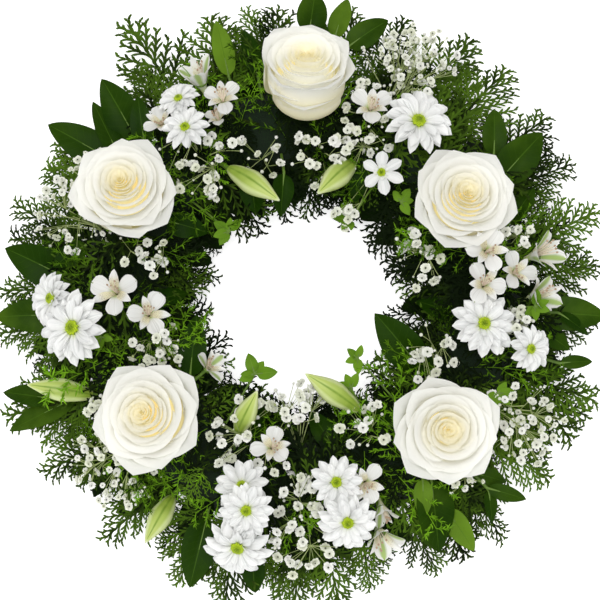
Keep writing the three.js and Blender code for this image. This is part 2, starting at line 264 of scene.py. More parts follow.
def as_light(colour):
    """A screen colour as amounts of light."""
    return tuple(c / 12.92 if c <= 0.04045 else ((c + 0.055) / 1.055) ** 2.4 for c in colour)


class Look:
    """A material's node tree, written as nested calls. Colours are written as they look on a screen."""

    # The values that the points of a piece carry, and how far a point is from the middle line.
    along = property(lambda self: self.value("along"))
    side = property(lambda self: self.value("side"))
    tone = property(lambda self: self.value("tone"))
    layer = property(lambda self: self.value("layer"))
    edge = property(lambda self: self.maths("ABSOLUTE", self.side))

    def __init__(self, name, roughness, specular=0.5, coat=0.0, coat_roughness=0.1, sheen=0.0):
        self.material = bpy.data.materials.new(name)
        self.material.use_nodes = True
        self.tree = self.material.node_tree
        self.shader = self.tree.nodes["Principled BSDF"]
        self.even("Roughness", roughness)
        self.even("Specular IOR Level", specular)
        self.even("Coat Weight", coat)
        self.even("Coat Roughness", coat_roughness)
        self.even("Sheen Weight", sheen)

    def even(self, socket, value):
        """Sets a value that is the same all over the surface."""
        self.shader.inputs[socket].default_value = value

    def put(self, socket, value):
        if isinstance(value, (int, float)):
            socket.default_value = value
        elif isinstance(value, tuple):
            socket.default_value = (*as_light(value), 1.0)
        else:
            self.tree.links.new(value, socket)

    def value(self, name):
        node = self.tree.nodes.new("ShaderNodeAttribute")
        node.attribute_name = name
        return node.outputs["Fac"]

    def place(self):
        return self.tree.nodes.new("ShaderNodeNewGeometry").outputs["Position"]

    def maths(self, operation, a, b=0.0):
        node = self.tree.nodes.new("ShaderNodeMath")
        node.operation = operation
        self.put(node.inputs[0], a)
        self.put(node.inputs[1], b)
        return node.outputs[0]

    def plus(self, a, b):
        return self.maths("ADD", a, b)

    def times(self, a, b):
        return self.maths("MULTIPLY", a, b)

    def fit(self, value, low, high, to_low=0.0, to_high=1.0):
        node = self.tree.nodes.new("ShaderNodeMapRange")
        node.interpolation_type = "SMOOTHSTEP"
        self.put(node.inputs["Value"], value)
        for key, number in (("From Min", low), ("From Max", high), ("To Min", to_low), ("To Max", to_high)):
            node.inputs[key].default_value = number
        return node.outputs["Result"]

    def noise(self, scale, detail=3.0, vector=None):
        node = self.tree.nodes.new("ShaderNodeTexNoise")
        node.inputs["Scale"].default_value = scale
        node.inputs["Detail"].default_value = detail
        self.put(node.inputs["Vector"], self.place() if vector is None else vector)
        return node.outputs["Fac"]

    def vector(self, x, y, z):
        node = self.tree.nodes.new("ShaderNodeCombineXYZ")
        for socket, value in zip(node.inputs, (x, y, z)):
            self.put(socket, value)
        return node.outputs[0]

    def blend(self, share, a, b):
        node = self.tree.nodes.new("ShaderNodeMix")
        node.data_type = "RGBA"
        self.put(node.inputs["Factor"], share)
        self.put(node.inputs[6], a)
        self.put(node.inputs[7], b)
        return node.outputs[2]

    def colour(self, value):
        self.put(self.shader.inputs["Base Color"], value)

    def glow(self, colour, strength):
        self.put(self.shader.inputs["Emission Color"], colour)
        self.even("Emission Strength", strength)

    def rough(self, low, spread, value):
        self.put(self.shader.inputs["Roughness"], self.plus(low, self.times(value, spread)))

    def through(self, share, colour):
        """Lets a share of the light through to the other side, as a thin petal or leaf does."""
        mixer = self.tree.nodes.new("ShaderNodeMixShader")
        thin = self.tree.nodes.new("ShaderNodeBsdfTranslucent")
        self.put(thin.inputs["Color"], colour)
        self.put(mixer.inputs["Fac"], share)
        self.tree.links.new(self.shader.outputs["BSDF"], mixer.inputs[1])
        self.tree.links.new(thin.outputs["BSDF"], mixer.inputs[2])
        self.tree.links.new(mixer.outputs[0], self.tree.nodes["Material Output"].inputs["Surface"])

    def bump(self, height, strength, distance):
        node = self.tree.nodes.new("ShaderNodeBump")
        node.inputs["Strength"].default_value = strength
        node.inputs["Distance"].default_value = distance
        self.put(node.inputs["Height"], height)
        self.tree.links.new(node.outputs["Normal"], self.shader.inputs["Normal"])


def ribbed(look, count, spread=0.35):
    """Fine ribs along a petal or leaf that wander a little."""
    stretched = look.vector(
        look.times(look.side, count),
        look.times(look.along, spread),
        look.times(look.tone, 9.0),
    )
    return look.noise(1.0, 2.0, stretched)


def rose_look(name, glow_end, heart_glow):
    """A creamy white petal, warmer towards the heart; its glow fades out up the petal to glow_end."""
    look = Look(name, 0.55, specular=0.15, sheen=0.1)
    heart = look.fit(look.layer, 0.05, 0.72, 1.0, 0.0)
    pale = look.blend(look.noise(70.0), (0.978, 0.977, 0.96), (0.99, 0.989, 0.975))
    face = look.blend(heart, pale, (0.995, 0.975, 0.88))
    deep = look.blend(heart, (0.997, 0.98, 0.88), (1.0, 0.92, 0.55))
    body = look.blend(look.fit(look.along, 0.5, 0.88), deep, face)
    green = look.fit(look.along, 0.0, 0.4, 0.55, 0.0)
    petal = look.blend(green, body, (0.9, 0.93, 0.72))
    look.colour(petal)
    # A faint warm glow low on the petals stands in for the light that white petals pass among themselves.
    depth = look.fit(look.plus(look.along, look.times(look.layer, 0.2)), 0.7, glow_end, 1.0, 0.0)
    depth = look.times(depth, look.fit(look.layer, 0.7, 0.86, 1.0, 0.2))
    warm = look.blend(heart, (0.99, 0.98, 0.9), heart_glow)
    look.glow(look.blend(depth, (0.0, 0.0, 0.0), warm), 0.2)
    look.through(0.38, petal)
    look.rough(0.46, 0.18, look.noise(140.0))
    look.bump(ribbed(look, 24.0), 0.15, 0.0005)
    return look.material


def daisy_look():
    look = Look("daisy_petal", 0.5, specular=0.2, sheen=0.1)
    white = look.blend(look.tone, (0.955, 0.958, 0.955), (0.985, 0.985, 0.98))
    streak = look.blend(look.fit(ribbed(look, 7.0), 0.48, 0.72), white, (0.9, 0.91, 0.905))
    petal = look.blend(look.fit(look.along, 0.0, 0.25), (0.86, 0.9, 0.62), streak)
    look.colour(petal)
    look.through(0.2, petal)
    look.rough(0.4, 0.2, look.noise(160.0))
    look.bump(ribbed(look, 6.0), 0.45, 0.0007)
    return look.material


def disc_look():
    look = Look("daisy_disc", 0.55, specular=0.3)
    ring = look.blend(look.fit(look.along, 0.15, 0.9), (0.4, 0.52, 0.02), (0.66, 0.76, 0.1))
    look.colour(look.blend(look.fit(look.noise(900.0), 0.45, 0.75), ring, (0.76, 0.82, 0.24)))
    look.bump(look.noise(1500.0), 0.4, 0.0004)
    return look.material


def alstroemeria_look():
    """Layer 0 is a broad tepal, 0.5 one with a green keel and 1 a narrow flecked one."""
    look = Look("alstroemeria_petal", 0.5, specular=0.2, sheen=0.1)
    side = look.edge
    along = look.along
    white = look.blend(look.tone, (0.95, 0.952, 0.945), (0.98, 0.98, 0.97))
    veined = look.blend(look.fit(ribbed(look, 9.0), 0.5, 0.72), white, (0.9, 0.9, 0.885))
    throat = look.blend(look.fit(along, 0.12, 0.42), (0.76, 0.83, 0.5), veined)
    dot = look.times(look.fit(along, 0.93, 0.98), look.fit(side, 0.1, 0.3, 1.0, 0.0))
    broad = look.blend(dot, throat, (0.5, 0.6, 0.25))
    run = look.times(look.fit(along, 0.2, 0.45), look.fit(side, 0.15, 0.6, 1.0, 0.0))
    keel = look.blend(look.times(run, 0.85), broad, (0.6, 0.73, 0.26))
    kept = look.blend(look.fit(look.layer, 0.3, 0.4), broad, keel)
    cream = look.blend(look.fit(along, 0.45, 0.85), (0.93, 0.91, 0.78), veined)
    fleck = look.fit(ribbed(look, 12.0, 22.0), 0.6, 0.64)
    fleck = look.times(fleck, look.fit(along, 0.62, 0.78, 0.8, 0.0))
    narrow = look.blend(fleck, cream, (0.5, 0.3, 0.24))
    petal = look.blend(look.fit(look.layer, 0.7, 0.8), kept, narrow)
    look.colour(petal)
    look.through(0.25, petal)
    look.rough(0.42, 0.2, look.noise(160.0))
    look.bump(ribbed(look, 8.0), 0.3, 0.0006)
    return look.material


def stamen_look():
    look = Look("stamen", 0.6, specular=0.2)
    thread = look.blend(look.noise(500.0), (0.95, 0.93, 0.86), (0.9, 0.8, 0.75))
    look.colour(look.blend(look.fit(look.layer, 0.4, 0.6), thread, (0.72, 0.62, 0.52)))
    look.bump(look.noise(1800.0), 0.3, 0.0003)
    return look.material


def bud_look():
    look = Look("lily_bud", 0.42, specular=0.3, coat=0.12, coat_roughness=0.3)
    look.even("Subsurface Weight", 0.15)
    look.even("Subsurface Radius", (1.0, 0.9, 0.7))
    look.even("Subsurface Scale", 0.003)
    green = look.blend(look.tone, (0.48, 0.6, 0.16), (0.6, 0.69, 0.26))
    long = look.blend(look.fit(look.along, 0.1, 0.95), green, (0.73, 0.79, 0.43))
    seam = look.blend(look.fit(look.side, 0.0, 0.3), (0.44, 0.56, 0.14), long)
    rib = look.blend(look.fit(look.side, 0.7, 1.0, 0.0, 0.85), seam, (0.85, 0.89, 0.66))
    end = look.fit(look.along, 0.93, 1.0, 0.0, 0.6)
    tipped = look.blend(end, rib, (0.94, 0.95, 0.86))
    look.colour(look.blend(look.fit(look.noise(120.0), 0.3, 0.8, 0.0, 0.3), tipped, (0.7, 0.79, 0.38)))
    look.rough(0.34, 0.2, look.noise(200.0))
    look.bump(ribbed(look, 9.0, 0.6), 0.25, 0.0005)
    return look.material


def leaf_look(name, dark, light, rib, roughness, coat):
    """A broad leaf: tone carries it from dark to light, with a pale middle rib and faint slanting veins."""
    look = Look(name, roughness, specular=0.035, coat=coat, coat_roughness=0.3)
    broad = look.fit(look.noise(28.0), 0.3, 0.75, -0.12, 0.12)
    share = look.fit(look.plus(look.tone, broad), 0.0, 1.0)
    toned = look.blend(share, dark, light)
    side = look.edge
    slant = look.maths("SUBTRACT", look.along, look.times(side, 0.16))
    wave = look.maths("ABSOLUTE", look.maths("SINE", look.times(slant, 30.0)))
    vein = look.fit(wave, 0.0, 0.16, 1.0, 0.0)
    veined = look.blend(look.times(vein, 0.14), toned, rib)
    surface = look.blend(look.fit(side, 0.01, 0.05, 0.5, 0.0), veined, rib)
    look.colour(surface)
    look.through(0.18, look.blend(0.5, surface, light))
    look.rough(roughness - 0.06, 0.16, look.noise(90.0))
    fine = look.times(look.noise(500.0), 0.4)
    look.bump(look.maths("SUBTRACT", fine, look.times(vein, 0.6)), 0.35, 0.0006)
    return look.material


def scale_look(name, dark, light, stalk):
    """Scaly or needled foliage; layer 0 is the woody middle line of a spray."""
    look = Look(name, 0.55, specular=0.04)
    broad = look.fit(look.noise(40.0), 0.3, 0.75, -0.2, 0.2)
    share = look.fit(look.plus(look.tone, broad), 0.0, 1.0)
    middle = look.fit(look.edge, 0.0, 0.9, 0.3, 0.0)
    scaly = look.blend(look.times(middle, share), look.blend(share, dark, light), light)
    green = look.blend(look.fit(look.layer, 0.05, 0.3), look.blend(share, dark, stalk), scaly)
    look.colour(green)
    look.through(0.06, green)
    look.rough(0.46, 0.2, look.noise(300.0))
    look.bump(look.noise(1400.0), 0.6, 0.0006)
    return look.material


def stem_look(name, dark, light):
    look = Look(name, 0.5, specular=0.4)
    toned = look.blend(look.tone, dark, light)
    look.colour(look.blend(look.fit(look.noise(220.0), 0.35, 0.7), toned, light))
    look.bump(look.noise(900.0), 0.3, 0.0004)
    return look.material


def blossom_look():
    look = Look("gypsophila_petal", 0.6, specular=0.15, sheen=0.1)
    white = look.blend(look.tone, (0.93, 0.94, 0.87), (0.985, 0.985, 0.975))
    inner = look.blend(look.fit(look.along, 0.0, 0.3), (0.7, 0.76, 0.5), white)
    petal = look.blend(look.fit(look.layer, 0.5, 0.6), inner, (0.2, 0.25, 0.06))
    look.colour(petal)
    look.through(0.15, petal)
    look.rough(0.5, 0.2, look.noise(700.0))
    look.bump(look.noise(1600.0), 0.35, 0.0004)
    return look.material


def moulded_look():
    look = Look("moulded_tray", 0.42, specular=0.45)
    look.colour(look.blend(look.fit(look.noise(50.0), 0.3, 0.7), (0.1, 0.17, 0.12), (0.13, 0.21, 0.15)))
    look.rough(0.34, 0.2, look.noise(260.0))
    look.bump(look.noise(1100.0), 0.25, 0.0004)
    return look.material


def foam_look():
    look = Look("wet_foam", 0.85, specular=0.3)
    # Wet foam is dark green, and these greens are darker still: painted shade for the glimpses of foam deep
    # among the greens. The pores are darker again, painted shade in the open cells.
    pores = look.noise(1300.0, 5.0)
    body = look.blend(look.fit(look.noise(35.0), 0.3, 0.7), (0.05, 0.13, 0.04), (0.08, 0.18, 0.06))
    look.colour(look.blend(look.fit(pores, 0.4, 0.62), (0.03, 0.08, 0.03), body))
    look.rough(0.72, 0.25, pores)
    look.bump(pores, 0.8, 0.001)
    return look.material


# ---- roses


def rose_petal(share, cup, closed, dip, rng):
    """One petal in the rose's own size: u runs across it and e from its base to its rim."""
    rows, columns = (10, 13) if share < 0.5 else (13, 19)
    t, u = shares(rows, columns)
    s = 1 - (1 - t) ** 1.5
    outer = smooth(0.5, 0.85, share)
    last = smooth(0.76, 0.84, share)
    power = mix(3.2, 2.2, outer)
    edge = mix(0.84, 0.74, last)
    e = s * (edge + (1 - edge) * (1 - abs(u) ** power) ** (1 / power))
    rim = np.interp(share, [0, 0.12, 0.3, 0.5, 0.74, 0.84, 1], [0.02, 0.11, 0.24, 0.42, 0.7, 0.87, 1.0])
    gap = np.interp(share, [0, 0.2, 0.5, 1], [0.024, 0.04, 0.075, 0.13])
    rim += rng.uniform(-0.25, 0.25) * gap * (1 - last)
    rim = rim - 0.12 * last * smooth(0.2, 0.5, dip)
    top = np.interp(share, [0, 0.15, 0.4, 0.6, 0.78, 1], [0.27, 0.3, 0.34, 0.33, 0.2, 0.02])
    top = mix(top, 0.24 + 0.08 * rng.uniform(-1, 1) * outer, closed * outer)
    top += rng.uniform(-0.5, 0.4) * gap - dip
    ease = mix(0.85, 0.62, outer)
    low = 0.012 + 0.12 * share
    wall = max(rim - mix(1.5, 2.0, outer) * gap, 0.45 * rim)
    wall = mix(wall, 0.86 * rim, outer * closed)
    flare = rim - wall
    depth = (1 - e) * (top + cup)
    radius = low + (wall - low) * np.sin(0.5 * math.pi * np.minimum(e / 0.6, 1))
    radius = radius + flare * np.exp(-depth / (ease * flare))
    rise = top - depth
    roll = mix(0.016, 0.08, outer)
    lip = np.clip((e - 0.84) / 0.16, 0, 1)
    radius = radius + 0.4 * roll * lip
    rise = rise - roll * lip**2
    radius = radius - 0.17 * last * (1 - 0.6 * closed) * abs(u) * smooth(0.6, 1.0, e)
    rise = rise - 0.05 * outer * abs(u) ** 1.5 * smooth(0.5, 0.95, e)
    radius = radius + 0.04 * last * np.exp(-((u / 0.1) ** 2)) * lip
    turn = mix(2.1, mix(1.35, 1.18, last), smooth(0, 0.5, share)) * (0.55 + 0.45 * smooth(0.0, 0.6, e)) * u
    radius = radius + rng.uniform(0.2, 0.8) * gap * (1 - 0.6 * last) * u
    rise = rise + 0.012 * np.sin(2.3 * math.pi * u + rng.uniform(0, 6.3)) * e**3 * (0.5 + share)
    return np.stack([radius * np.cos(turn), radius * np.sin(turn), rise], axis=-1), e, u


ROSE_PETALS = 51


def add_rose(piece, head, cup, closed, front, dips, aside, rng):
    """Spiralled petals. Closed is how upright the outer petals stand, front the clock angle that the
    outermost petal faces, the dips how much lower than usual the outermost petals end, and aside the
    clock angle and distance by which the middle of the bloom is off to one side."""
    shift = head["basis"] @ at(*aside, 0)
    faced = head["basis"] @ at(front, 1, 0)
    outermost = ROSE_PETALS - 1
    first = math.atan2(faced[1], faced[0]) - outermost * GOLDEN
    for k in range(ROSE_PETALS):
        share = k / outermost
        sunk = 0.1 * (k % 2) * smooth(0.12, 0.35, share) * (1 - smooth(0.76, 0.84, share))
        dip = dips[outermost - k] if outermost - k < len(dips) else sunk
        points, e, u = rose_petal(share, cup, closed, dip, rng)
        turned = points @ spun(first + k * GOLDEN + rng.uniform(-0.2, 0.2)) + shift * (1 - share)
        piece.grid(stood(turned, head), along=e, side=u, tone=rng.uniform(), layer=share)
    # The petals stand on a closed core, so that nothing shows through between them.
    s = np.linspace(0.02, 1, 6)[:, None]
    turn = turns(24)
    out, height = 0.6 * s, mix(-0.06, -0.36, s**2)
    core = np.stack([out * np.cos(turn), out * np.sin(turn), height + 0 * turn], axis=-1)
    core = core + shift * (1 - s)[..., None]
    piece.grid(stood(core, head), wrap=True, along=0.6, tone=0.5, layer=0.4)


def add_calyx(greens, head, size, stem_radius, drop):
    """The stem under a bloom and the green cup at its end, sized and placed in half widths of the bloom."""
    size = size * head["radius"]
    axis = head["basis"][2]
    base = head["middle"] - axis * (drop * head["radius"])
    line = np.linspace(0, 1, 9)[:, None] * (base - head["foot"]) + head["foot"]
    greens.tube(line, stem_radius, sides=8, tone=0.4)
    cup = base - axis * 0.25 * size + np.linspace(0, 1, 7)[:, None] * axis * 0.8 * size
    greens.tube(cup, size * np.array([0.2, 0.55, 0.85, 1.0, 1.05, 0.95, 0.6]), sides=12, tone=0.6)


# ---- daisies


DISC_RADIUS = 0.175  # of the green middle of a daisy, in half widths of the bloom
DISC_FLORETS = 55
FEW_PETALS = 9  # a bloom with fewer petals than this has a single layer of broad ones


def ray_petal(length, width, start, rise, droop, rng):
    """A long blunt petal that starts at a radius and rises, then droops."""
    s, u = shares(9, 5)
    body = np.interp(s, [0, 0.12, 0.35, 0.62, 0.82, 0.93, 1], [0.34, 0.5, 0.82, 1.0, 0.82, 0.5, 0.06])
    half = width * body
    out = start + (length - start) * s + 0 * u
    across = half * u
    lift = rise * s - droop * s**2 + 0.75 * (u**2) * half + rng.uniform(-0.01, 0.01) * s
    return np.stack([out, across, lift + 0 * u], axis=-1), s + 0 * u, u + 0 * s


def add_daisy(piece, discs, head, rng, petals, crown):
    """Layers of petals round a green disc; crown is how many small petals curl over the disc."""
    # Number, length, half width, inner radius, rise and droop of the petals in each layer.
    layers = [
        (petals, 1.0, 0.185, 0.15, 0.04, 0.08),
        (petals, 0.92, 0.175, 0.13, 0.17, 0.1),
        (petals - 4, 0.72, 0.145, 0.12, 0.3, 0.12),
    ]
    if petals < FEW_PETALS:
        layers = [(petals, 1.04, 0.28, 0.12, 0.12, 0.16), (9, 0.36, 0.1, 0.12, 0.14, 0.02)]
    if crown:
        layers.append((crown, 0.46, 0.09, 0.13, 0.42, 0.12))
    for number, (count, length, width, start, rise, droop) in enumerate(layers):
        offset = rng.uniform()
        for k in range(count):
            reach = length * rng.uniform(0.9, 1.04)
            tall = rise * rng.uniform(0.7, 1.3)
            breadth = width * rng.uniform(0.86, 1.12)
            points, s, u = ray_petal(reach, breadth, start, tall, droop, rng)
            turn = (k + offset + rng.uniform(-0.16, 0.16)) * 2 * math.pi / count
            world = stood(points @ spun(turn), head)
            piece.grid(world, along=s, side=u, tone=rng.uniform(), layer=number / 3)
    for k in range(DISC_FLORETS):
        share = math.sqrt((k + 0.5) / DISC_FLORETS)
        turn = k * GOLDEN
        out = share * DISC_RADIUS
        centre = np.array([math.cos(turn) * out, math.sin(turn) * out, 0.08 + 0.09 * (1 - share**2)])
        size = 0.024 + 0.012 * share
        floret = lathe([(0.9, -0.6), (1.0, 0.2), (0.55, 1.1), (0.05, 1.2)]) * size + centre
        discs.grid(stood(floret, head), wrap=True, along=share, tone=rng.uniform())


# ---- alstroemerias


def tepal(length, width, body, open_angle, curl, rng):
    """One petal: a narrow claw that widens to a blade, which opens outwards along its length."""
    rows = 13
    s, u = shares(rows, 9)
    half = width * np.interp(s, [0, 0.2, 0.4, 0.6, 0.75, 0.88, 0.96, 1], body)
    tilt = mix(0.28 * open_angle, open_angle, smooth(0.05, 0.6, s)) + curl * smooth(0.6, 1, s)
    step = length / (rows - 1)
    out = np.cumsum(np.sin(tilt) * step, axis=0) - np.sin(tilt[0]) * step
    lift = np.cumsum(np.cos(tilt) * step, axis=0) - np.cos(tilt[0]) * step
    cup = 0.32 * half * u**2
    x = 0.06 + out - np.cos(tilt) * cup
    z = lift + np.sin(tilt) * cup
    wave = 0.035 * np.sin(3.4 * u + rng.uniform(0, 6)) * s**2
    return np.stack([x, half * u + 0 * s, z + wave], axis=-1), s + 0 * u, u + 0 * s


# Outlines of a tepal, as parts of its half width from the claw to the tip.
BROAD_TEPAL = [0.15, 0.28, 0.6, 0.92, 1.0, 0.86, 0.56, 0.08]
NARROW_TEPAL = [0.3, 0.45, 0.8, 1.0, 0.9, 0.6, 0.3, 0.05]


def add_alstroemeria(petals, stamens, head, rng, openness):
    """Three broad and three narrow tepals with a tuft of stamens; openness 1 is wide open, 0 a funnel."""
    throat = np.array([0, 0, mix(-1.45, -0.66, openness)])
    first = rng.uniform(0, 2 * math.pi)
    for k in range(6):
        broad = k % 2 == 0
        angle = mix(0.36, 1.24 if broad else 0.92, openness) + rng.uniform(-0.12, 0.14)
        length = mix(1.7, 1.22 if broad else 1.16, openness) * rng.uniform(0.93, 1.07)
        width = (0.41 if broad else 0.21) * mix(0.8, 1.0, openness) * rng.uniform(0.9, 1.08)
        body = BROAD_TEPAL if broad else NARROW_TEPAL
        points, s, u = tepal(length, width, body, angle, 0.25 if broad else 0.4, rng)
        points = points @ spun(first + k * math.pi / 3 + rng.uniform(-0.14, 0.14)) + throat
        layer = (0.0 if openness > 0.7 else 0.5) if broad else 1.0
        petals.grid(stood(points, head), along=s, side=u, tone=rng.uniform(), layer=layer)
    droop = rng.uniform(0, 2 * math.pi)
    for k in range(6):
        turn = droop + (k - 2.5) * 0.5
        s = np.linspace(0, 1, 7)[:, None]
        sway = np.array([math.cos(turn), math.sin(turn), 0])
        rise = s * np.array([0, 0, mix(1.5, 0.8, openness)])
        line = stood(throat + rise + sway * (0.04 + rng.uniform(0.16, 0.36) * s**1.8), head)
        stamens.tube(line, 0.0005, sides=4, tone=rng.uniform())
        tip = line[-1]
        step = 0.0011 * head["basis"][2]
        anther = np.array([tip - step, tip - 0.4 * step, tip + 0.6 * step, tip + 1.2 * step])
        stamens.tube(anther, np.array([0.0002, 0.0009, 0.0009, 0.0002]), sides=5, layer=1.0)


# ---- lily buds


def add_bud(piece, greens, bud):
    """A closed bud of three ridged lobes, on a stem that bends up to it."""
    axes = basis(bud["axis"], UP + 0.01)
    t = np.linspace(0, 1, 26)[:, None]
    turn = turns(30)
    belly = 0.178 * np.sin(math.pi * (0.06 + 0.93 * t) ** 0.92) ** 0.75 * (1 - 0.25 * t)
    belly = belly * (1 + 0.18 * smooth(0.25, 0.5, t) * (1 - smooth(0.6, 0.95, t)))
    ridge = abs(np.sin(1.5 * turn))
    lobed = belly * (0.86 + 0.14 * ridge**0.6)
    bend = 0.03 * np.sin(math.pi * t)
    points = np.stack([lobed * np.cos(turn) + bend, lobed * np.sin(turn), t + 0 * turn], axis=-1)
    world = points @ axes * bud["length"] + bud["base"]
    piece.grid(world, wrap=True, along=t, side=ridge, tone=0.5)
    inner = bud["base"] - bud["axis"] * 0.3 * bud["length"]
    s = np.linspace(0, 1, 12)[:, None]
    end = bud["base"] + 0.02 * bud["axis"] * bud["length"]
    line = (1 - s) ** 2 * bud["foot"] + 2 * s * (1 - s) * inner + s**2 * end
    greens.tube(line, mix(0.0016, 0.0022, s[:, 0]), sides=8, tone=0.7)


# ---- leaves


def blade(line, side, normal, half, phase, columns):
    """A pointed leaf blade over a middle line, folded along it and curled down at its edges."""
    t, u = shares(len(line), columns)
    shape = (t + 1e-6) ** 0.55 * (1 - t + 1e-6) ** 0.88
    width = half * shape / shape.max()
    across = width * u
    lift = 0.3 * abs(across) - 0.18 * across**2 / half + 0.05 * half * np.sin(9 * t + phase) * u**2
    points = line[:, None] + across[..., None] * side[:, None] + lift[..., None] * normal[:, None]
    return points, t + 0 * u, u + 0 * t


def add_leaf(leaves, stalks, line, half, tone, phase, start=0.34, rows=20, columns=9):
    """A stalk and a folded, veined blade along a curve t -> point."""
    t = np.linspace(start, 1, rows)
    middle = line(t)
    tangent = unit(np.gradient(middle, axis=0))
    side = unit(np.cross(np.broadcast_to(UP, tangent.shape), tangent))
    roll = 0.35 * math.sin(phase)
    normal = np.cross(tangent, side)
    c, s = math.cos(roll), math.sin(roll)
    points, along, across = blade(middle, side * c + normal * s, normal * c - side * s, half, phase, columns)
    leaves.grid(points, along=along, side=across, tone=tone)
    stalk = line(np.linspace(0, start + 0.3, 8)) - 0.0002 * UP
    stalks.tube(stalk, np.linspace(0.0014, 0.0004, 8), sides=6, tone=0.8)


def arc(start, end, lift):
    """A curve t -> point that bows up between two points."""
    start, end = np.asarray(start), np.asarray(end)

    def line(t):
        t = np.asarray(t, float)[..., None]
        return start + (end - start) * t + 4 * lift * t * (1 - t) * UP

    return line


# ---- cedar and fern


def scale_strip(start, heading, length, width, bend, step, ridge=True):
    """A flat scaly branchlet in the XY plane: its sides step in and out at every scale."""
    count = max(3, int(round(length / step)))
    t = np.linspace(0, 1, count + 1)
    angle = heading + bend * t
    x = start[0] + np.concatenate([[0], np.cumsum(np.sin(angle[:-1])) * length / count])
    y = start[1] + np.concatenate([[0], np.cumsum(np.cos(angle[:-1])) * length / count])
    half = width * np.where(np.arange(count + 1) % 2 == 0, 1.0, 0.62) * (1 - 0.5 * t**2)
    half[-1] = 0.08 * width
    across = np.stack([np.cos(angle), -np.sin(angle)], axis=-1)
    middle = np.stack([x, y], axis=-1)
    rows = []
    for side in (-1, 0, 1) if ridge else (-1, 1):
        flat = middle + side * across * half[:, None]
        lift = np.full((count + 1, 1), 0.5 * width if side == 0 else 0.0)
        rows.append(np.concatenate([flat, lift], axis=1))
    return np.stack(rows, axis=1), t, middle, angle


def frond_template(seed, step, branches, pitch, width):
    """A flat cedar spray of unit length along +Y: a middle line, branches and rows of short twigs."""
    rng = np.random.default_rng(seed)
    turn, bend = rng.uniform(-0.08, 0.08), rng.uniform(-0.22, 0.22)
    main, t, middle, angle = scale_strip((0, 0), turn, 1.0, 1.15 * width, bend, step)
    strips = [(main, t * 0.4, np.where(t < 0.6, 0.1, 1.0))]
    for k in range(branches):
        share = 0.1 + 0.87 * k / (branches - 1)
        node = int(share * (len(middle) - 1))
        side = -1 if k % 2 else 1
        reach = (0.5 * (1 - share) ** 0.8 + 0.07) * smooth(-0.14, 0.25, share) * rng.uniform(0.8, 1.12)
        heading = angle[node] + side * mix(0.85, 0.45, share) + rng.uniform(-0.08, 0.08)
        strip, bt, line, ways = scale_strip(middle[node], heading, reach, width, -side * 0.08, step)
        strips.append((strip, 0.3 + 0.5 * bt, 0.6))
        number = max(2, int(round(reach / pitch)))
        for j in range(number):
            part = (j + 0.7) / (number + 0.3)
            knot = int(part * (len(line) - 1))
            inner = -1 if j % 2 else 1
            size = (0.17 * reach * (1 - part) ** 0.7 + 0.036) * rng.uniform(0.8, 1.25)
            twig, tt, _, _ = scale_strip(line[knot], ways[knot] + 0.58 * inner, size, width, 0.0, step, False)
            strips.append((twig, 0.5 + 0.5 * tt, 1.0))
    return strips


# Fine sprays for the rim, where they are seen against the table, and plainer ones for the rest.
FROND_KINDS = [frond_template(seed, 0.026, 17, 0.033, 0.0125) for seed in range(6)]
PLAIN_KINDS = [frond_template(20 + seed, 0.034, 14, 0.05, 0.0145) for seed in range(5)]


def laid(start, end, roll):
    """Length and directions (across, along, out of the flat side) of a spray laid from start to end."""
    span = np.asarray(end) - np.asarray(start)
    length = np.linalg.norm(span)
    forward = unit(span)
    side = unit(np.cross(forward, UP))
    normal = np.cross(side, forward)
    c, s = math.cos(roll), math.sin(roll)
    return length, side * c + normal * s, forward, normal * c - side * s


def add_frond(piece, start, end, breadth, droop, roll, kind, tone, rng):
    """Lays a cedar template from start to end with its flat side up, rolled and drooping."""
    length, side, forward, normal = laid(start, end, roll)
    for strip, along, level in kind:
        x, y, z = strip[..., 0] * breadth, strip[..., 1], strip[..., 2]
        sag = droop * (y - y**2) - 0.12 * x**2
        z = z + sag
        points = start + length * (x[..., None] * side + y[..., None] * forward + z[..., None] * normal)
        points[..., 2] = np.maximum(points[..., 2], 0.0015)
        shade = np.clip(tone + 0.3 * (along - 0.5) + rng.uniform(-0.1, 0.1), 0, 1)
        across = np.linspace(-1, 1, strip.shape[1])[None, :]
        level = np.broadcast_to(level, along.shape)[:, None]
        piece.grid(points, along=along[:, None], side=across, tone=shade[:, None], layer=level)


def fern_template(seed):
    """A feathery fern spray of unit length along +Y: curved thin stems with tufts of needles."""
    rng = np.random.default_rng(seed)
    lines, needles = [], []

    def stem(start, heading, pitch, length, bend, count):
        t = np.linspace(0, 1, count)
        turn = heading + bend * t
        step = length / (count - 1)
        level, rise = math.cos(pitch), np.full(count, math.sin(pitch))
        ways = np.stack([np.sin(turn) * level, np.cos(turn) * level, rise], axis=-1)
        points = start + np.concatenate([[np.zeros(3)], np.cumsum(ways[:-1] * step, axis=0)])
        lines.append(points)
        return points, ways

    main, heading = stem(np.zeros(3), 0.0, 0.0, 1.0, rng.uniform(-0.4, 0.4), 12)
    for k in range(1, 12):
        side = -1 if k % 2 else 1
        turn = math.atan2(heading[k, 0], heading[k, 1]) + side * rng.uniform(0.6, 1.0)
        reach = 0.42 * (1 - 0.6 * k / 12) * rng.uniform(0.7, 1.15)
        twig, ways = stem(main[k], turn, rng.uniform(-0.35, 0.5), reach, rng.uniform(-0.5, 0.5), 7)
        for j in range(1, 7):
            for _ in range(4):
                way = unit(ways[j] + 0.8 * rng.normal(size=3))
                size = rng.uniform(0.05, 0.095)
                wide = 0.0075 * unit(np.cross(way, rng.normal(size=3)))
                base, middle, tip = (twig[j] + part * size * way for part in (0, 0.5, 1))
                pairs = ((base, -0.6, 0.6), (middle, -1, 1), (tip, 0, 0.2))
                needles.append([[spot + left * wide, spot + right * wide] for spot, left, right in pairs])
    return lines, np.array(needles)


FERN_KINDS = [fern_template(40 + seed) for seed in range(4)]


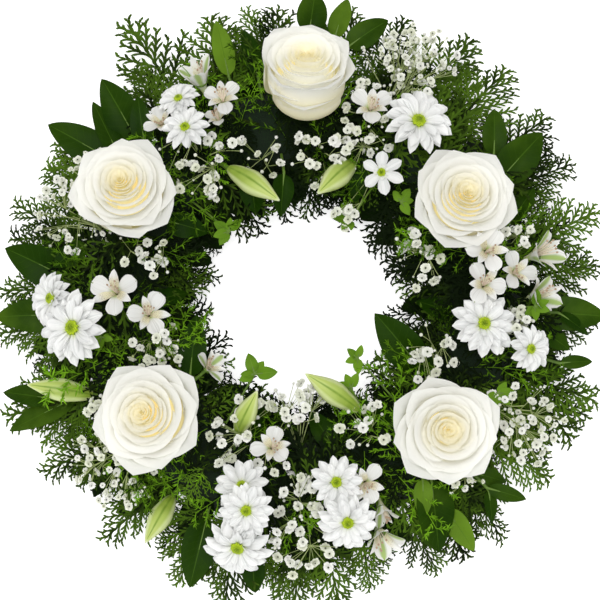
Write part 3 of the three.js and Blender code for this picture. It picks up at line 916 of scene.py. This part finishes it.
def add_fern(piece, start, end, roll, tone, rng):
    lines, needles = FERN_KINDS[rng.integers(len(FERN_KINDS))]
    length, side, forward, normal = laid(start, end, roll)
    axes = length * np.array([side, forward, normal])
    for line in lines:
        piece.tube(line @ axes + start, 0.00035, sides=3, tone=tone, layer=0.6)
    points = needles @ axes + start
    points = points[clear_of_heads(points[:, 2, 0], 1.15, -0.009)]
    count = len(points)
    flat = points.reshape(count, 6, 3)
    quads = np.array([[0, 1, 3, 2], [2, 3, 5, 4]])[None] + 6 * np.arange(count)[:, None, None]
    shade = np.clip(tone + rng.uniform(-0.25, 0.25, (count, 1)), 0, 1)
    along = np.broadcast_to([0.2, 0.2, 0.6, 0.6, 1.0, 1.0], (count, 6))
    piece.add(flat, quads.reshape(-1, 4), along=along, side=0.0, tone=np.repeat(shade, 6, axis=1), layer=1.0)


def add_sprig(leaves, stalks, clock, radius, height, count, reach, rng):
    """A short stem end with small bright leaves that spread from it."""
    top = at(clock, radius, height)
    foot = at(clock, mix(radius, RING, 0.6), FOAM_TOP)
    stalks.tube(arc(foot, top, 0.003)(np.linspace(0, 1, 6)), 0.0009, sides=5, tone=0.8)
    first = rng.uniform(0, 2 * math.pi)
    for k in range(count):
        turn = first + k * 1.4 * math.pi / count + rng.uniform(-0.3, 0.3)
        size = reach * rng.uniform(0.8, 1.4)
        rise = rng.uniform(-0.1, 0.45)
        end = top + size * np.array([math.cos(turn), math.sin(turn), rise])
        shade = np.clip(0.75 + rng.uniform(-0.2, 0.2), 0, 1)
        line = arc(top, end, 0.08 * size)
        add_leaf(leaves, stalks, line, 0.3 * size, shade, rng.uniform(0, 6), start=0.06, rows=9, columns=5)


# ---- baby's breath


# The petals of a blossom, from the outer layer inwards: number, length, lean and half width.
BLOSSOM_LAYERS = [(9, 1.0, 0.12, 0.36), (8, 0.78, 0.55, 0.3), (5, 0.5, 1.0, 0.24)]


def blossom_template(seed):
    """A double blossom of unit radius facing +Z: petals as small two-part sheets, and a dark heart."""
    rng = np.random.default_rng(seed)
    parts = []
    share, u = np.array([[0.12], [0.65], [1.0]]), np.array([[-1, 0, 1]])
    width = np.array([[0.3], [1.0], [0.62]])
    for level, (count, reach, tilt, breadth) in enumerate(BLOSSOM_LAYERS):
        for k in range(count):
            turn = (k + 0.5 * level + rng.uniform(-0.2, 0.2)) * 2 * math.pi / count
            out = reach * rng.uniform(0.88, 1.08) * share
            half = breadth * rng.uniform(0.9, 1.1) * width
            lean = (tilt + rng.uniform(-0.15, 0.15)) * share
            rise = 0.05 + out * np.sin(lean) + 0.12 * u * u
            points = np.stack([out * np.cos(lean) + 0 * u, half * u, rise], axis=-1)
            parts.append((points @ spun(turn), share + 0 * u, 0.0))
    heart = lathe([(0.17, 0.3), (0.12, 0.42), (0.01, 0.46)])
    parts.append((np.concatenate([heart, heart[:, :1]], axis=1), np.ones((3, 7)), 1.0))
    return parts


BLOSSOM_KINDS = [blossom_template(60 + seed) for seed in range(5)]


def add_blossom(piece, greens, centre, facing, radius, rng):
    axes = basis(facing, rng.normal(size=3))
    tone = rng.uniform()
    for points, along, layer in BLOSSOM_KINDS[rng.integers(len(BLOSSOM_KINDS))]:
        piece.grid(points @ axes * radius + centre, along=along, tone=tone, layer=layer)
    cup = [centre + height * radius * axes[2] for height in (-0.62, -0.3, 0.08)]
    greens.tube(cup, radius * np.array([0.08, 0.3, 0.22]), sides=5, tone=0.9)


def add_closed_bud(piece, centre, radius, rng):
    axes = basis(rng.normal(size=3) + 2.0 * UP)
    points = lathe([(0.1, -1.0), (0.85, -0.4), (1.0, 0.25), (0.6, 0.85), (0.05, 1.05)])
    along = np.array([[0.05], [0.25], [0.6], [0.8], [1.0]])
    piece.grid(points @ axes * radius + centre, wrap=True, along=along, tone=rng.uniform())


def clear_of_heads(points, margin, low=-0.03):
    """Which points are clear of every rose, daisy and alstroemeria head: beside it by a margin in its
    half widths, below it by more than low, or well above it."""
    clear = np.ones(len(points), bool)
    for head in HEADS:
        offset = points - head["middle"]
        height = offset @ head["basis"][2]
        spread = np.linalg.norm(offset - height[:, None] * head["basis"][2], axis=1)
        clear &= (spread > head["radius"] * margin) | (height < low) | (height > 0.03)
    return clear


CLOSED_SHARE = 0.42  # the part of the blossoms that are still closed
SMALL_BLOSSOM = 0.0042  # blossoms up to this half width are less even in size


def add_cloud(piece, greens, clock, radius, height, wide, deep, count, size, rng):
    """A cloud of blossoms on forking twigs that start together in the foam."""
    middle = at(clock, radius, height)
    outward = unit(at(clock, 1, 0))
    sideways = np.array([outward[1], -outward[0], 0])
    foot = at(clock, np.clip(radius, *CLOUD_FEET), FOAM_TOP - SUNK)

    def spot_within(reach):
        """A random place in the cloud and how far out it is, at most a share of the cloud's size."""
        turn, share = rng.uniform(0, 2 * math.pi), reach * math.sqrt(rng.uniform())
        spot = middle + sideways * wide * share * math.cos(turn) + outward * deep * share * math.sin(turn)
        return spot, share

    forks = []
    for _ in range(max(2, count // 5)):
        spot, _ = spot_within(0.75)
        forks.append(mix(foot, spot, 0.72) - UP * rng.uniform(0, 0.006))
        line = arc(foot, forks[-1], rng.uniform(-0.004, 0.006))(np.linspace(0, 1, 5))
        greens.tube(line, 0.0005, sides=3, tone=rng.uniform())
    forks = np.array(forks)
    placed = 0
    for _ in range(count * 6):
        if placed >= count:
            break
        spot, share = spot_within(1)
        spot = spot + UP * (rng.uniform(-0.012, 0.008) - 0.008 * share)
        if not clear_of_heads(spot[None], 0.94)[0]:
            continue
        placed += 1
        add_single(piece, greens, spot, forks[np.argmin(np.linalg.norm(forks - spot, axis=1))], size, rng)


def add_single(piece, greens, spot, fork, size, rng):
    """One blossom or closed bud on a thread from a fork."""
    closed = rng.uniform() < CLOSED_SHARE
    low = 0.85 if size > SMALL_BLOSSOM else 0.55
    body = size * (rng.uniform(0.22, 0.42) if closed else rng.uniform(low, 1.1))
    facing = UP + 0.42 * rng.normal(size=3) + 0.35 * unit(spot - fork)
    if closed:
        add_closed_bud(piece, spot, body, rng)
    else:
        add_blossom(piece, greens, spot, facing, body, rng)
    line = arc(fork, spot - UP * 0.5 * body, rng.uniform(-0.003, 0.003))(np.linspace(0, 1, 4))
    greens.tube(line, 0.0003, sides=3, tone=rng.uniform())


# ---- building the wreath

rose_material = rose_look("rose_petal", 1.1, (1.0, 0.95, 0.72))
# The leaning rose's copy glows further up its petals and whiter: painted light that lifts the shade in its
# tilted heart.
leaning_rose_material = rose_look("leaning_rose_petal", 1.35, (0.98, 0.97, 0.91))
leaf_material = leaf_look("broad_leaf", (0.1, 0.21, 0.01), (0.42, 0.56, 0.15), (0.3, 0.44, 0.12), 0.4, 0.02)
# A darker copy of the broad leaf look: painted shade for the leaves that lie under the other greens.
shade_dark_leaf_material = leaf_look("shade_dark_leaf", (0.05, 0.11, 0.01), (0.2, 0.34, 0.06), (0.1, 0.18, 0.04), 0.5, 0.0)
sprig_material = leaf_look("sprig_leaf", (0.2, 0.34, 0.05), (0.44, 0.6, 0.16), (0.5, 0.62, 0.24), 0.42, 0.03)
# The dark end of the cedar is a near-black green, painted shade for the sprays that lie under the others.
cedar_material = scale_look("cedar_scales", (0.05, 0.095, 0.02), (0.34, 0.47, 0.12), (0.17, 0.2, 0.07))
fern_material = scale_look("fern_needles", (0.09, 0.18, 0.01), (0.48, 0.68, 0.14), (0.2, 0.3, 0.08))

for node, look in (("ring_tray", moulded_look), ("foam_ring", foam_look)):
    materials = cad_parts[node].data.materials
    materials.clear()
    materials.append(look())

LEANING_ROSE = "rose_1"

# Each rose's depth of cup in half widths, how closed it is, the clock angle that its outermost petal
# faces, how much lower its outermost petals end, and where its middle is.
ROSE_FORMS = [
    (1.42, 1.0, 184, (0.62, 0.0, 0.3, 0.5), (0, 0.02)),
    (0.95, 0.0, 120, (), (318, 0.13)),
    (0.95, 0.0, 200, (), (60, 0.05)),
    (0.95, 0.0, 60, (), (310, 0.09)),
    (0.95, 0.0, 300, (), (20, 0.04)),
]

stems = Piece()
for number, (node, head, form) in enumerate(zip(nodes_named("rose_"), ROSES, ROSE_FORMS)):
    rng = np.random.default_rng(100 + number)
    rose = Piece()
    add_rose(rose, head, *form, rng)
    material = leaning_rose_material if node == LEANING_ROSE else rose_material
    rose.build(f"{node}_petals", material, "rose_petals", [node])
    add_calyx(stems, head, 0.25, 0.003, form[0])

# How far the petals of a daisy reach, in half widths of its solid. The single one has one layer of petals.
SINGLE_DAISY = "daisy_13"
DAISY_REACH = {"daisy_3": 1.28, SINGLE_DAISY: 0.98}
USUAL_DAISY_REACH = 1.1
CROWNS = (0, 5, 4)  # small petals over the disc, in turn
BIG_DAISY = 0.024  # the half width beyond which a daisy has one petal more to a layer

daisies, discs = Piece(), Piece()
for number, (node, head) in enumerate(zip(nodes_named("daisy_"), DAISIES)):
    rng = np.random.default_rng(200 + number)
    single = node == SINGLE_DAISY
    crown = 0 if single else CROWNS[number % len(CROWNS)]
    head = {**head, "radius": DAISY_REACH.get(node, USUAL_DAISY_REACH) * head["radius"]}
    petals = 6 if single else 12 + (head["radius"] > BIG_DAISY)
    add_daisy(daisies, discs, head, rng, petals, crown)
    add_calyx(stems, head, 0.3, 0.0016, 0.12)
daisies.build("daisy_petals", daisy_look(), "daisy_petals", nodes_named("daisy_"))
discs.build("daisy_discs", disc_look(), "daisy_petals")

# Alstroemerias besides the solids: clock, radius, height, facing clock, lean in degrees, half width
# and openness.
SIDE_BLOOMS = [
    (84, 183, 84, 84, 22, 17, 1.0),
    (160, 198, 72, 168, 62, 15, 0.2),
    (232, 94, 72, 60, 40, 15, 0.6),
    (321, 194, 82, 320, 20, 15, 1.0),
    (335, 173, 80, 335, 30, 12, 0.8),
]


def leaning(clock, lean):
    """The direction that leans by degrees from straight up towards a clock angle."""
    turn = math.radians(lean)
    return at(clock, math.sin(turn), math.cos(turn))


# A bloom that leans further than this, in degrees, is a funnel seen from its side.
FUNNEL_LEAN = 35
FUNNEL_OPENNESS = 0.22
FUNNEL_REACH = 1.32


def grow_alstroemeria(head, openness, seed):
    add_alstroemeria(alstroemerias, stamens, head, np.random.default_rng(seed), openness)
    add_calyx(stems, head, 0.24, 0.0015, 0.75)


alstroemerias, stamens = Piece(), Piece()
for number, head in enumerate(ALSTROEMERIAS):
    openness = 1.0
    if math.degrees(math.acos(head["basis"][2][2])) > FUNNEL_LEAN:
        openness = FUNNEL_OPENNESS
        head = {**head, "radius": FUNNEL_REACH * head["radius"]}
    grow_alstroemeria(head, openness, 300 + number)
for number, (clock, radius, height, way, lean, size, openness) in enumerate(SIDE_BLOOMS):
    head = {
        "middle": at_mm(clock, radius, height),
        "foot": at(clock, mix(radius * MM, RING, 0.8), FOAM_TOP - 0.01),
        "basis": basis(leaning(way, lean)),
        "radius": size * MM,
    }
    grow_alstroemeria(head, openness, 330 + number)
    HEADS.append(head)
slot = "alstroemeria_petals"
alstroemerias.build("alstroemeria_petals", alstroemeria_look(), slot, nodes_named("alstroemeria_"))
stamens.build("alstroemeria_stamens", stamen_look(), slot)

lilies = Piece()
for node in nodes_named("lily_bud_"):
    add_bud(lilies, stems, bud_frame(node))
lilies.build("lily_buds", bud_look(), "lily_bud_skin", nodes_named("lily_bud_"))

# Broad leaves besides the solids': clock, radius and height of the base and of the tip, half width, tone.
MORE_LEAVES = [
    (314, 189, 60, 321, 226, 70, 10, 0.1),
    (1.5, 236, 58, 2.5, 277, 58, 14, 0.2),
    (7, 236, 52, 8.5, 275, 52, 10, 0.5),
    (10, 228, 56, 17, 261, 58, 12, 0.2),
    (342, 207, 58, 343, 258, 66, 10, 0.85),
    (349, 204, 54, 348, 248, 52, 9, 0.05),
    (53, 209, 56, 45, 237, 60, 11, 0.2),
    (248, 227, 46, 253, 268, 40, 10, 0.15),
    (97, 200, 56, 101, 232, 56, 11, 0.2),
    (234, 117, 60, 260, 90, 70, 12, 0.05),
    (146, 214, 57, 146, 257, 50, 10, 0.8),
    (145, 186, 68, 152, 242, 56, 17, 0.2),
    (147, 183, 73, 152, 212, 67, 8, 0.65),
    (136, 223, 54, 132, 254, 48, 7, 0.1),
    (136, 225, 52, 140, 248, 46, 6, 0.1),
    (191, 220, 50, 189, 250, 40, 10, 0.1),
    (338, 118, 60, 332, 86, 48, 12, 0.05),
    (352, 112, 58, 346, 76, 46, 10, 0.0),
    (284, 190, 62, 277, 214, 62, 10, 0.15),
    (308, 200, 56, 314, 256, 50, 10, 0.1),
    (93, 220, 52, 97, 248, 46, 6, 0.1),
    (104, 226, 50, 102, 254, 46, 6, 0.15),
    (136, 205, 54, 132, 232, 46, 8, 0.15),
    (70, 190, 58, 64, 224, 58, 9, 0.1),
    (168, 130, 58, 176, 96, 50, 10, 0.05),
    (120, 134, 58, 112, 100, 52, 11, 0.05),
    (64, 132, 58, 56, 98, 48, 11, 0.05),
    (24, 134, 58, 28, 98, 50, 10, 0.0),
    (300, 136, 58, 306, 100, 50, 11, 0.05),
    (268, 134, 58, 274, 98, 48, 10, 0.1),
    (204, 132, 58, 198, 96, 48, 10, 0.05),
    (96, 132, 56, 90, 98, 46, 10, 0.0),
    (146, 132, 56, 152, 98, 46, 9, 0.05),
]

# How light each leaf of the solids is, leaf_1 first.
LEAF_TONES = [0.02, 0.06, 0.2, 0.26, 0.08, 0.26, 0.3, 0.24, -0.05, 0.3, 0.05]

leaves = Piece()
for number, node in enumerate(nodes_named("leaf_")):
    line, half = run_frame(node)
    tone = LEAF_TONES[int(node.split("_")[1]) - 1]
    add_leaf(leaves, stems, line, half, tone, 1.7 * number)
for number, row in enumerate(MORE_LEAVES):
    start, end = at_mm(*row[:3]), at_mm(*row[3:6])
    half, tone = row[6:]
    foot = at(row[0], mix(row[1] * MM, RING, 0.5), FOAM_TOP - SUNK)
    stems.tube(arc(foot, start, 0.002)(np.linspace(0, 1, 5)), 0.0013, sides=5, tone=0.5)
    add_leaf(leaves, stems, arc(start, end, 0.004), half * MM, tone, 2.1 * number, start=0.02, rows=14)
leaves.build("broad_leaves", leaf_material, "leaf_green", nodes_named("leaf_"))


def backing(count, foot_radius, foot_height, tip_radius, tip_height, half, seed):
    """Broad leaves laid all round under the other greens, in a darker copy of the leaf look that is painted
    shade for where they lie.
    """
    rng = np.random.default_rng(seed)
    for k in range(count):
        clock = (k + rng.uniform(-0.3, 0.3)) * 360 / count
        foot = at_mm(clock, foot_radius, rng.uniform(*foot_height))
        tip = at_mm(clock + rng.uniform(-9, 9), rng.uniform(*tip_radius), rng.uniform(*tip_height))
        add_leaf(back, stems, arc(foot, tip, 0.004), half * MM, 0.0, 1.3 * k, start=0.02, rows=11, columns=5)


# Backing under the outer and the inner greens: number, foot radius and heights, tip radii and heights,
# half width and seed.
back = Piece()
backing(44, 182, (30, 44), (222, 246), (6, 22), 15, 31)
backing(34, 128, (34, 46), (84, 102), (8, 30), 13, 32)
back.build("backing_leaves", shade_dark_leaf_material, "leaf_green")

# Short leafy ends of bright green: clock, radius, height, number of leaves, length of a leaf.
SPRIGS = [
    (312, 84, 68, 5, 13),
    (32, 79, 66, 5, 12),
    (211, 77, 66, 5, 15),
    (138, 70, 62, 4, 12),
    (117, 183, 72, 5, 14),
    (93, 196, 76, 5, 15),
    (258, 172, 74, 4, 12),
    (152, 88, 64, 4, 11),
    (46, 118, 68, 4, 11),
    (200, 164, 66, 4, 11),
]

sprigs = Piece()
rng = np.random.default_rng(11)
for clock, radius, height, count, reach in SPRIGS:
    add_sprig(sprigs, stems, clock, radius * MM, height * MM, count, reach * MM, rng)
sprigs.build("leafy_sprigs", sprig_material, "leaf_green")

# Cedar tips round the rim, clock and radius; others come between them.
RIM_TIPS = [
    (340, 276), (350, 272), (358, 270), (10, 272), (18, 276), (39, 276), (51, 272), (65, 268),
    (73, 272), (107, 266), (124, 260), (143, 250), (155, 257), (171, 262), (196, 264), (205, 262),
    (234, 266), (246, 275), (262, 266), (287, 268), (296, 258), (302, 255),
]

rng = np.random.default_rng(7)
cedar = Piece()
for number, node in enumerate(nodes_named("cedar_")):
    line, _ = run_frame(node)
    kind = FROND_KINDS[number % len(FROND_KINDS)]
    add_frond(cedar, line(0.0), line(1.0), breadth=1.15, droop=0.12, roll=0.0, kind=kind, tone=0.42, rng=rng)
for clock, radius in RIM_TIPS:
    foot = at(clock + rng.uniform(-5, 5), rng.uniform(0.176, 0.19), rng.uniform(0.046, 0.054))
    tip = at(clock, radius * MM, rng.uniform(0.03, 0.046))
    kind = FROND_KINDS[rng.integers(len(FROND_KINDS))]
    breadth, roll, tone = rng.uniform(1.05, 1.4), rng.uniform(-0.3, 0.3), rng.uniform(0.25, 0.65)
    add_frond(cedar, foot, tip, breadth, 0.14, roll, kind, tone, rng)
cedar.build("cedar_fronds", cedar_material, "cedar_green", nodes_named("cedar_"))


def ring_of_fronds(count, foot_radius, foot_height, tip_radius, tip_height, swing, tone, kinds, seed):
    """Cedar sprays all round the ring, each between random radii and heights, as one piece."""
    rng = np.random.default_rng(seed)
    ring = Piece()
    for k in range(count):
        clock = (k + rng.uniform(-0.4, 0.4)) * 360 / count
        foot = at_mm(clock, rng.uniform(*foot_radius), rng.uniform(*foot_height))
        tip = at_mm(clock + rng.uniform(-swing, swing), rng.uniform(*tip_radius), rng.uniform(*tip_height))
        kind = kinds[rng.integers(len(kinds))]
        breadth, roll = rng.uniform(1.1, 1.45), rng.uniform(-0.5, 0.5)
        shade = mix(*tone, rng.uniform() ** 2)
        add_frond(ring, foot, tip, breadth, 0.12, roll, kind, shade, rng)
    return ring


# Rings of cedar: piece, number of sprays, foot radii and heights, tip radii and heights, swing of the
# tip in degrees, tones, kinds and seed.
# The lower and inner rings reach down to tones below 0, which clip to the cedar's near-black green, and most
# sprays take the low end of their range: painted shade for the sprays that lie under the others.
RINGS = [
    ("cedar_rim", 40, (178, 192), (44, 54), (236, 266), (20, 42), 9, (0.18, 0.75), FROND_KINDS, 12),
    ("cedar_skirt", 48, (186, 194), (26, 44), (216, 242), (4, 18), 12, (0.08, 0.4), PLAIN_KINDS, 13),
    ("cedar_inner", 60, (132, 150), (50, 60), (71, 94), (28, 52), 16, (-0.35, 0.65), PLAIN_KINDS, 14),
    ("cedar_lining", 34, (116, 126), (36, 52), (84, 106), (6, 26), 14, (-0.3, 0.1), PLAIN_KINDS, 15),
    ("cedar_cover", 50, (140, 165), (57, 66), (190, 225), (52, 67), 22, (-0.3, 0.8), PLAIN_KINDS, 16),
    ("cedar_middle", 44, (170, 185), (57, 66), (118, 138), (55, 70), 26, (-0.5, 0.65), PLAIN_KINDS, 17),
]
for name, *ring in RINGS:
    ring_of_fronds(*ring).build(name, cedar_material, "cedar_green")

FERN_TUFTS = 64

rng = np.random.default_rng(21)
fern = Piece()
for k in range(FERN_TUFTS):
    clock = (k + rng.uniform(-0.4, 0.4)) * 360 / FERN_TUFTS
    foot = at(clock, rng.uniform(0.13, 0.18), rng.uniform(0.056, 0.064))
    inward = rng.uniform() < 0.45
    reach = rng.uniform(0.088, 0.125) if inward else rng.uniform(0.19, 0.225)
    tip = at(clock + rng.uniform(-12, 12), reach, rng.uniform(0.058, 0.082))
    tone = rng.uniform(0.15, 0.9) if inward else rng.uniform(0.25, 1.1)
    add_fern(fern, foot, tip, rng.uniform(-0.6, 0.6), tone, rng)
fern.build("fern_sprays", fern_material, "leaf_green")

# Baby's breath clouds: clock, radius, half width round the ring, half depth across it, blossoms.
CLOUDS = [
    (325, 151, 38, 40, 35),
    (7.5, 117, 33, 23, 20),
    (21, 160, 25, 45, 48),
    (284, 138, 20, 30, 19),
    (252, 128, 30, 24, 25),
    (199, 130, 36, 36, 38),
    (181, 90, 25, 17, 38),
    (179, 192, 29, 46, 57),
    (155, 122, 21, 21, 16),
    (114, 120, 26, 24, 24),
    (72, 104, 30, 19, 24),
    (76, 189, 24, 19, 22),
    (29, 78, 12, 12, 8),
    (300, 205, 22, 22, 25),
    (240, 184, 20, 20, 16),
    (140, 205, 20, 18, 12),
    (345, 128, 26, 20, 14),
    (100, 178, 24, 20, 19),
    (23, 220, 40, 28, 54),
    (229, 224, 34, 22, 28),
    (120, 220, 26, 24, 19),
]

sprays, twigs = Piece(), Piece()
rng = np.random.default_rng(9)
for node in nodes_named("gypsophila_"):
    co = vertices(node)
    middle = co[co[:, 2] > 0.07].mean(0)
    clock = math.degrees(math.atan2(middle[0], middle[1]))
    add_cloud(sprays, twigs, clock, math.hypot(*middle[:2]), middle[2], 0.036, 0.036, 62, 0.0041, rng)
for clock, radius, wide, deep, count in CLOUDS:
    height, size = rng.uniform(0.08, 0.088), 0.0038 if radius > 195 else 0.0045
    add_cloud(sprays, twigs, clock, radius * MM, height, wide * MM, deep * MM, count, size, rng)
sprays.build("gypsophila_blossoms", blossom_look(), "gypsophila_bloom", nodes_named("gypsophila_"))
twig_material = stem_look("pale_twig", (0.46, 0.54, 0.26), (0.7, 0.75, 0.5))
twigs.build("gypsophila_twigs", twig_material, "gypsophila_bloom")
stem_material = stem_look("green_stem", (0.2, 0.32, 0.08), (0.4, 0.52, 0.18))
stems.build("stems", stem_material, "leaf_green")

# ---- stage


def floor_look():
    """A white table lit softly from below as well, so that it throws hardly any shadow."""
    look = Look("pale_floor", 0.6, specular=0.1)
    look.colour(look.blend(look.noise(3.0), (0.95, 0.95, 0.95), (0.96, 0.96, 0.96)))
    look.glow((1.0, 1.0, 1.0), 0.62)
    return look.material


# Soft lights: name, place, diameter, watts and colour. Both point at LIT.
LIT = (0, 0, 0.05)
LIGHTS = [
    ("key", (-0.25, 0.0, 2.2), 1.5, 27.0, (1.0, 0.99, 0.97)),
    ("fill", (0.3, -1.3, 1.5), 1.2, 8.0, (0.98, 0.99, 1.0)),
]
FLOOR_HALF = 6
SKY_STRENGTH = 0.48
CAMERA_LENS = 88.0  # millimetres, on a 36 mm sensor
CAMERA_DISTANCE = 1.25
CAMERA_TILT = math.radians(80)
CAMERA_TARGET = np.array([-0.0017, -0.0017, 0.06])


def area_light(name, place, size, energy, colour):
    data = bpy.data.lights.new(name, "AREA")
    data.shape = "DISK"
    data.size = size
    data.energy = energy
    data.color = colour
    light = bpy.data.objects.new(name, data)
    aim(light, place, LIT)
    bpy.context.scene.collection.objects.link(light)


def aim(thing, place, target):
    """Puts an object at a place with its -Z towards a target and its Y as level as it can be."""
    back = unit(np.asarray(place, float) - np.asarray(target, float))
    side = unit(np.cross(UP, back))
    turned = np.array([side, np.cross(back, side), back]).T
    matrix = np.eye(4)
    matrix[:3, :3] = turned
    matrix[:3, 3] = place
    thing.matrix_world = Matrix(matrix.tolist())


def set_stage():
    scene = bpy.context.scene
    corners = [(x * FLOOR_HALF, y * FLOOR_HALF, 0) for x, y in ((-1, -1), (1, -1), (1, 1), (-1, 1))]
    mesh = bpy.data.meshes.new("floor")
    mesh.from_pydata(corners, [], [(0, 1, 2, 3)])
    mesh.materials.append(floor_look())
    plane = bpy.data.objects.new("floor", mesh)
    scene.collection.objects.link(plane)
    scene.world = bpy.data.worlds.new("studio")
    scene.world.use_nodes = True
    background = scene.world.node_tree.nodes["Background"]
    background.inputs["Color"].default_value = (1.0, 1.0, 1.0, 1.0)
    background.inputs["Strength"].default_value = SKY_STRENGTH
    for row in LIGHTS:
        area_light(*row)
    camera = bpy.data.objects.new("camera", bpy.data.cameras.new("camera"))
    camera.data.lens = CAMERA_LENS
    camera.data.sensor_width = 36.0
    way = np.array([0, -math.cos(CAMERA_TILT), math.sin(CAMERA_TILT)])
    aim(camera, CAMERA_TARGET + CAMERA_DISTANCE * way, CAMERA_TARGET)
    scene.collection.objects.link(camera)
    scene.camera = camera
    scene.view_settings.view_transform = "Standard"


set_stage()
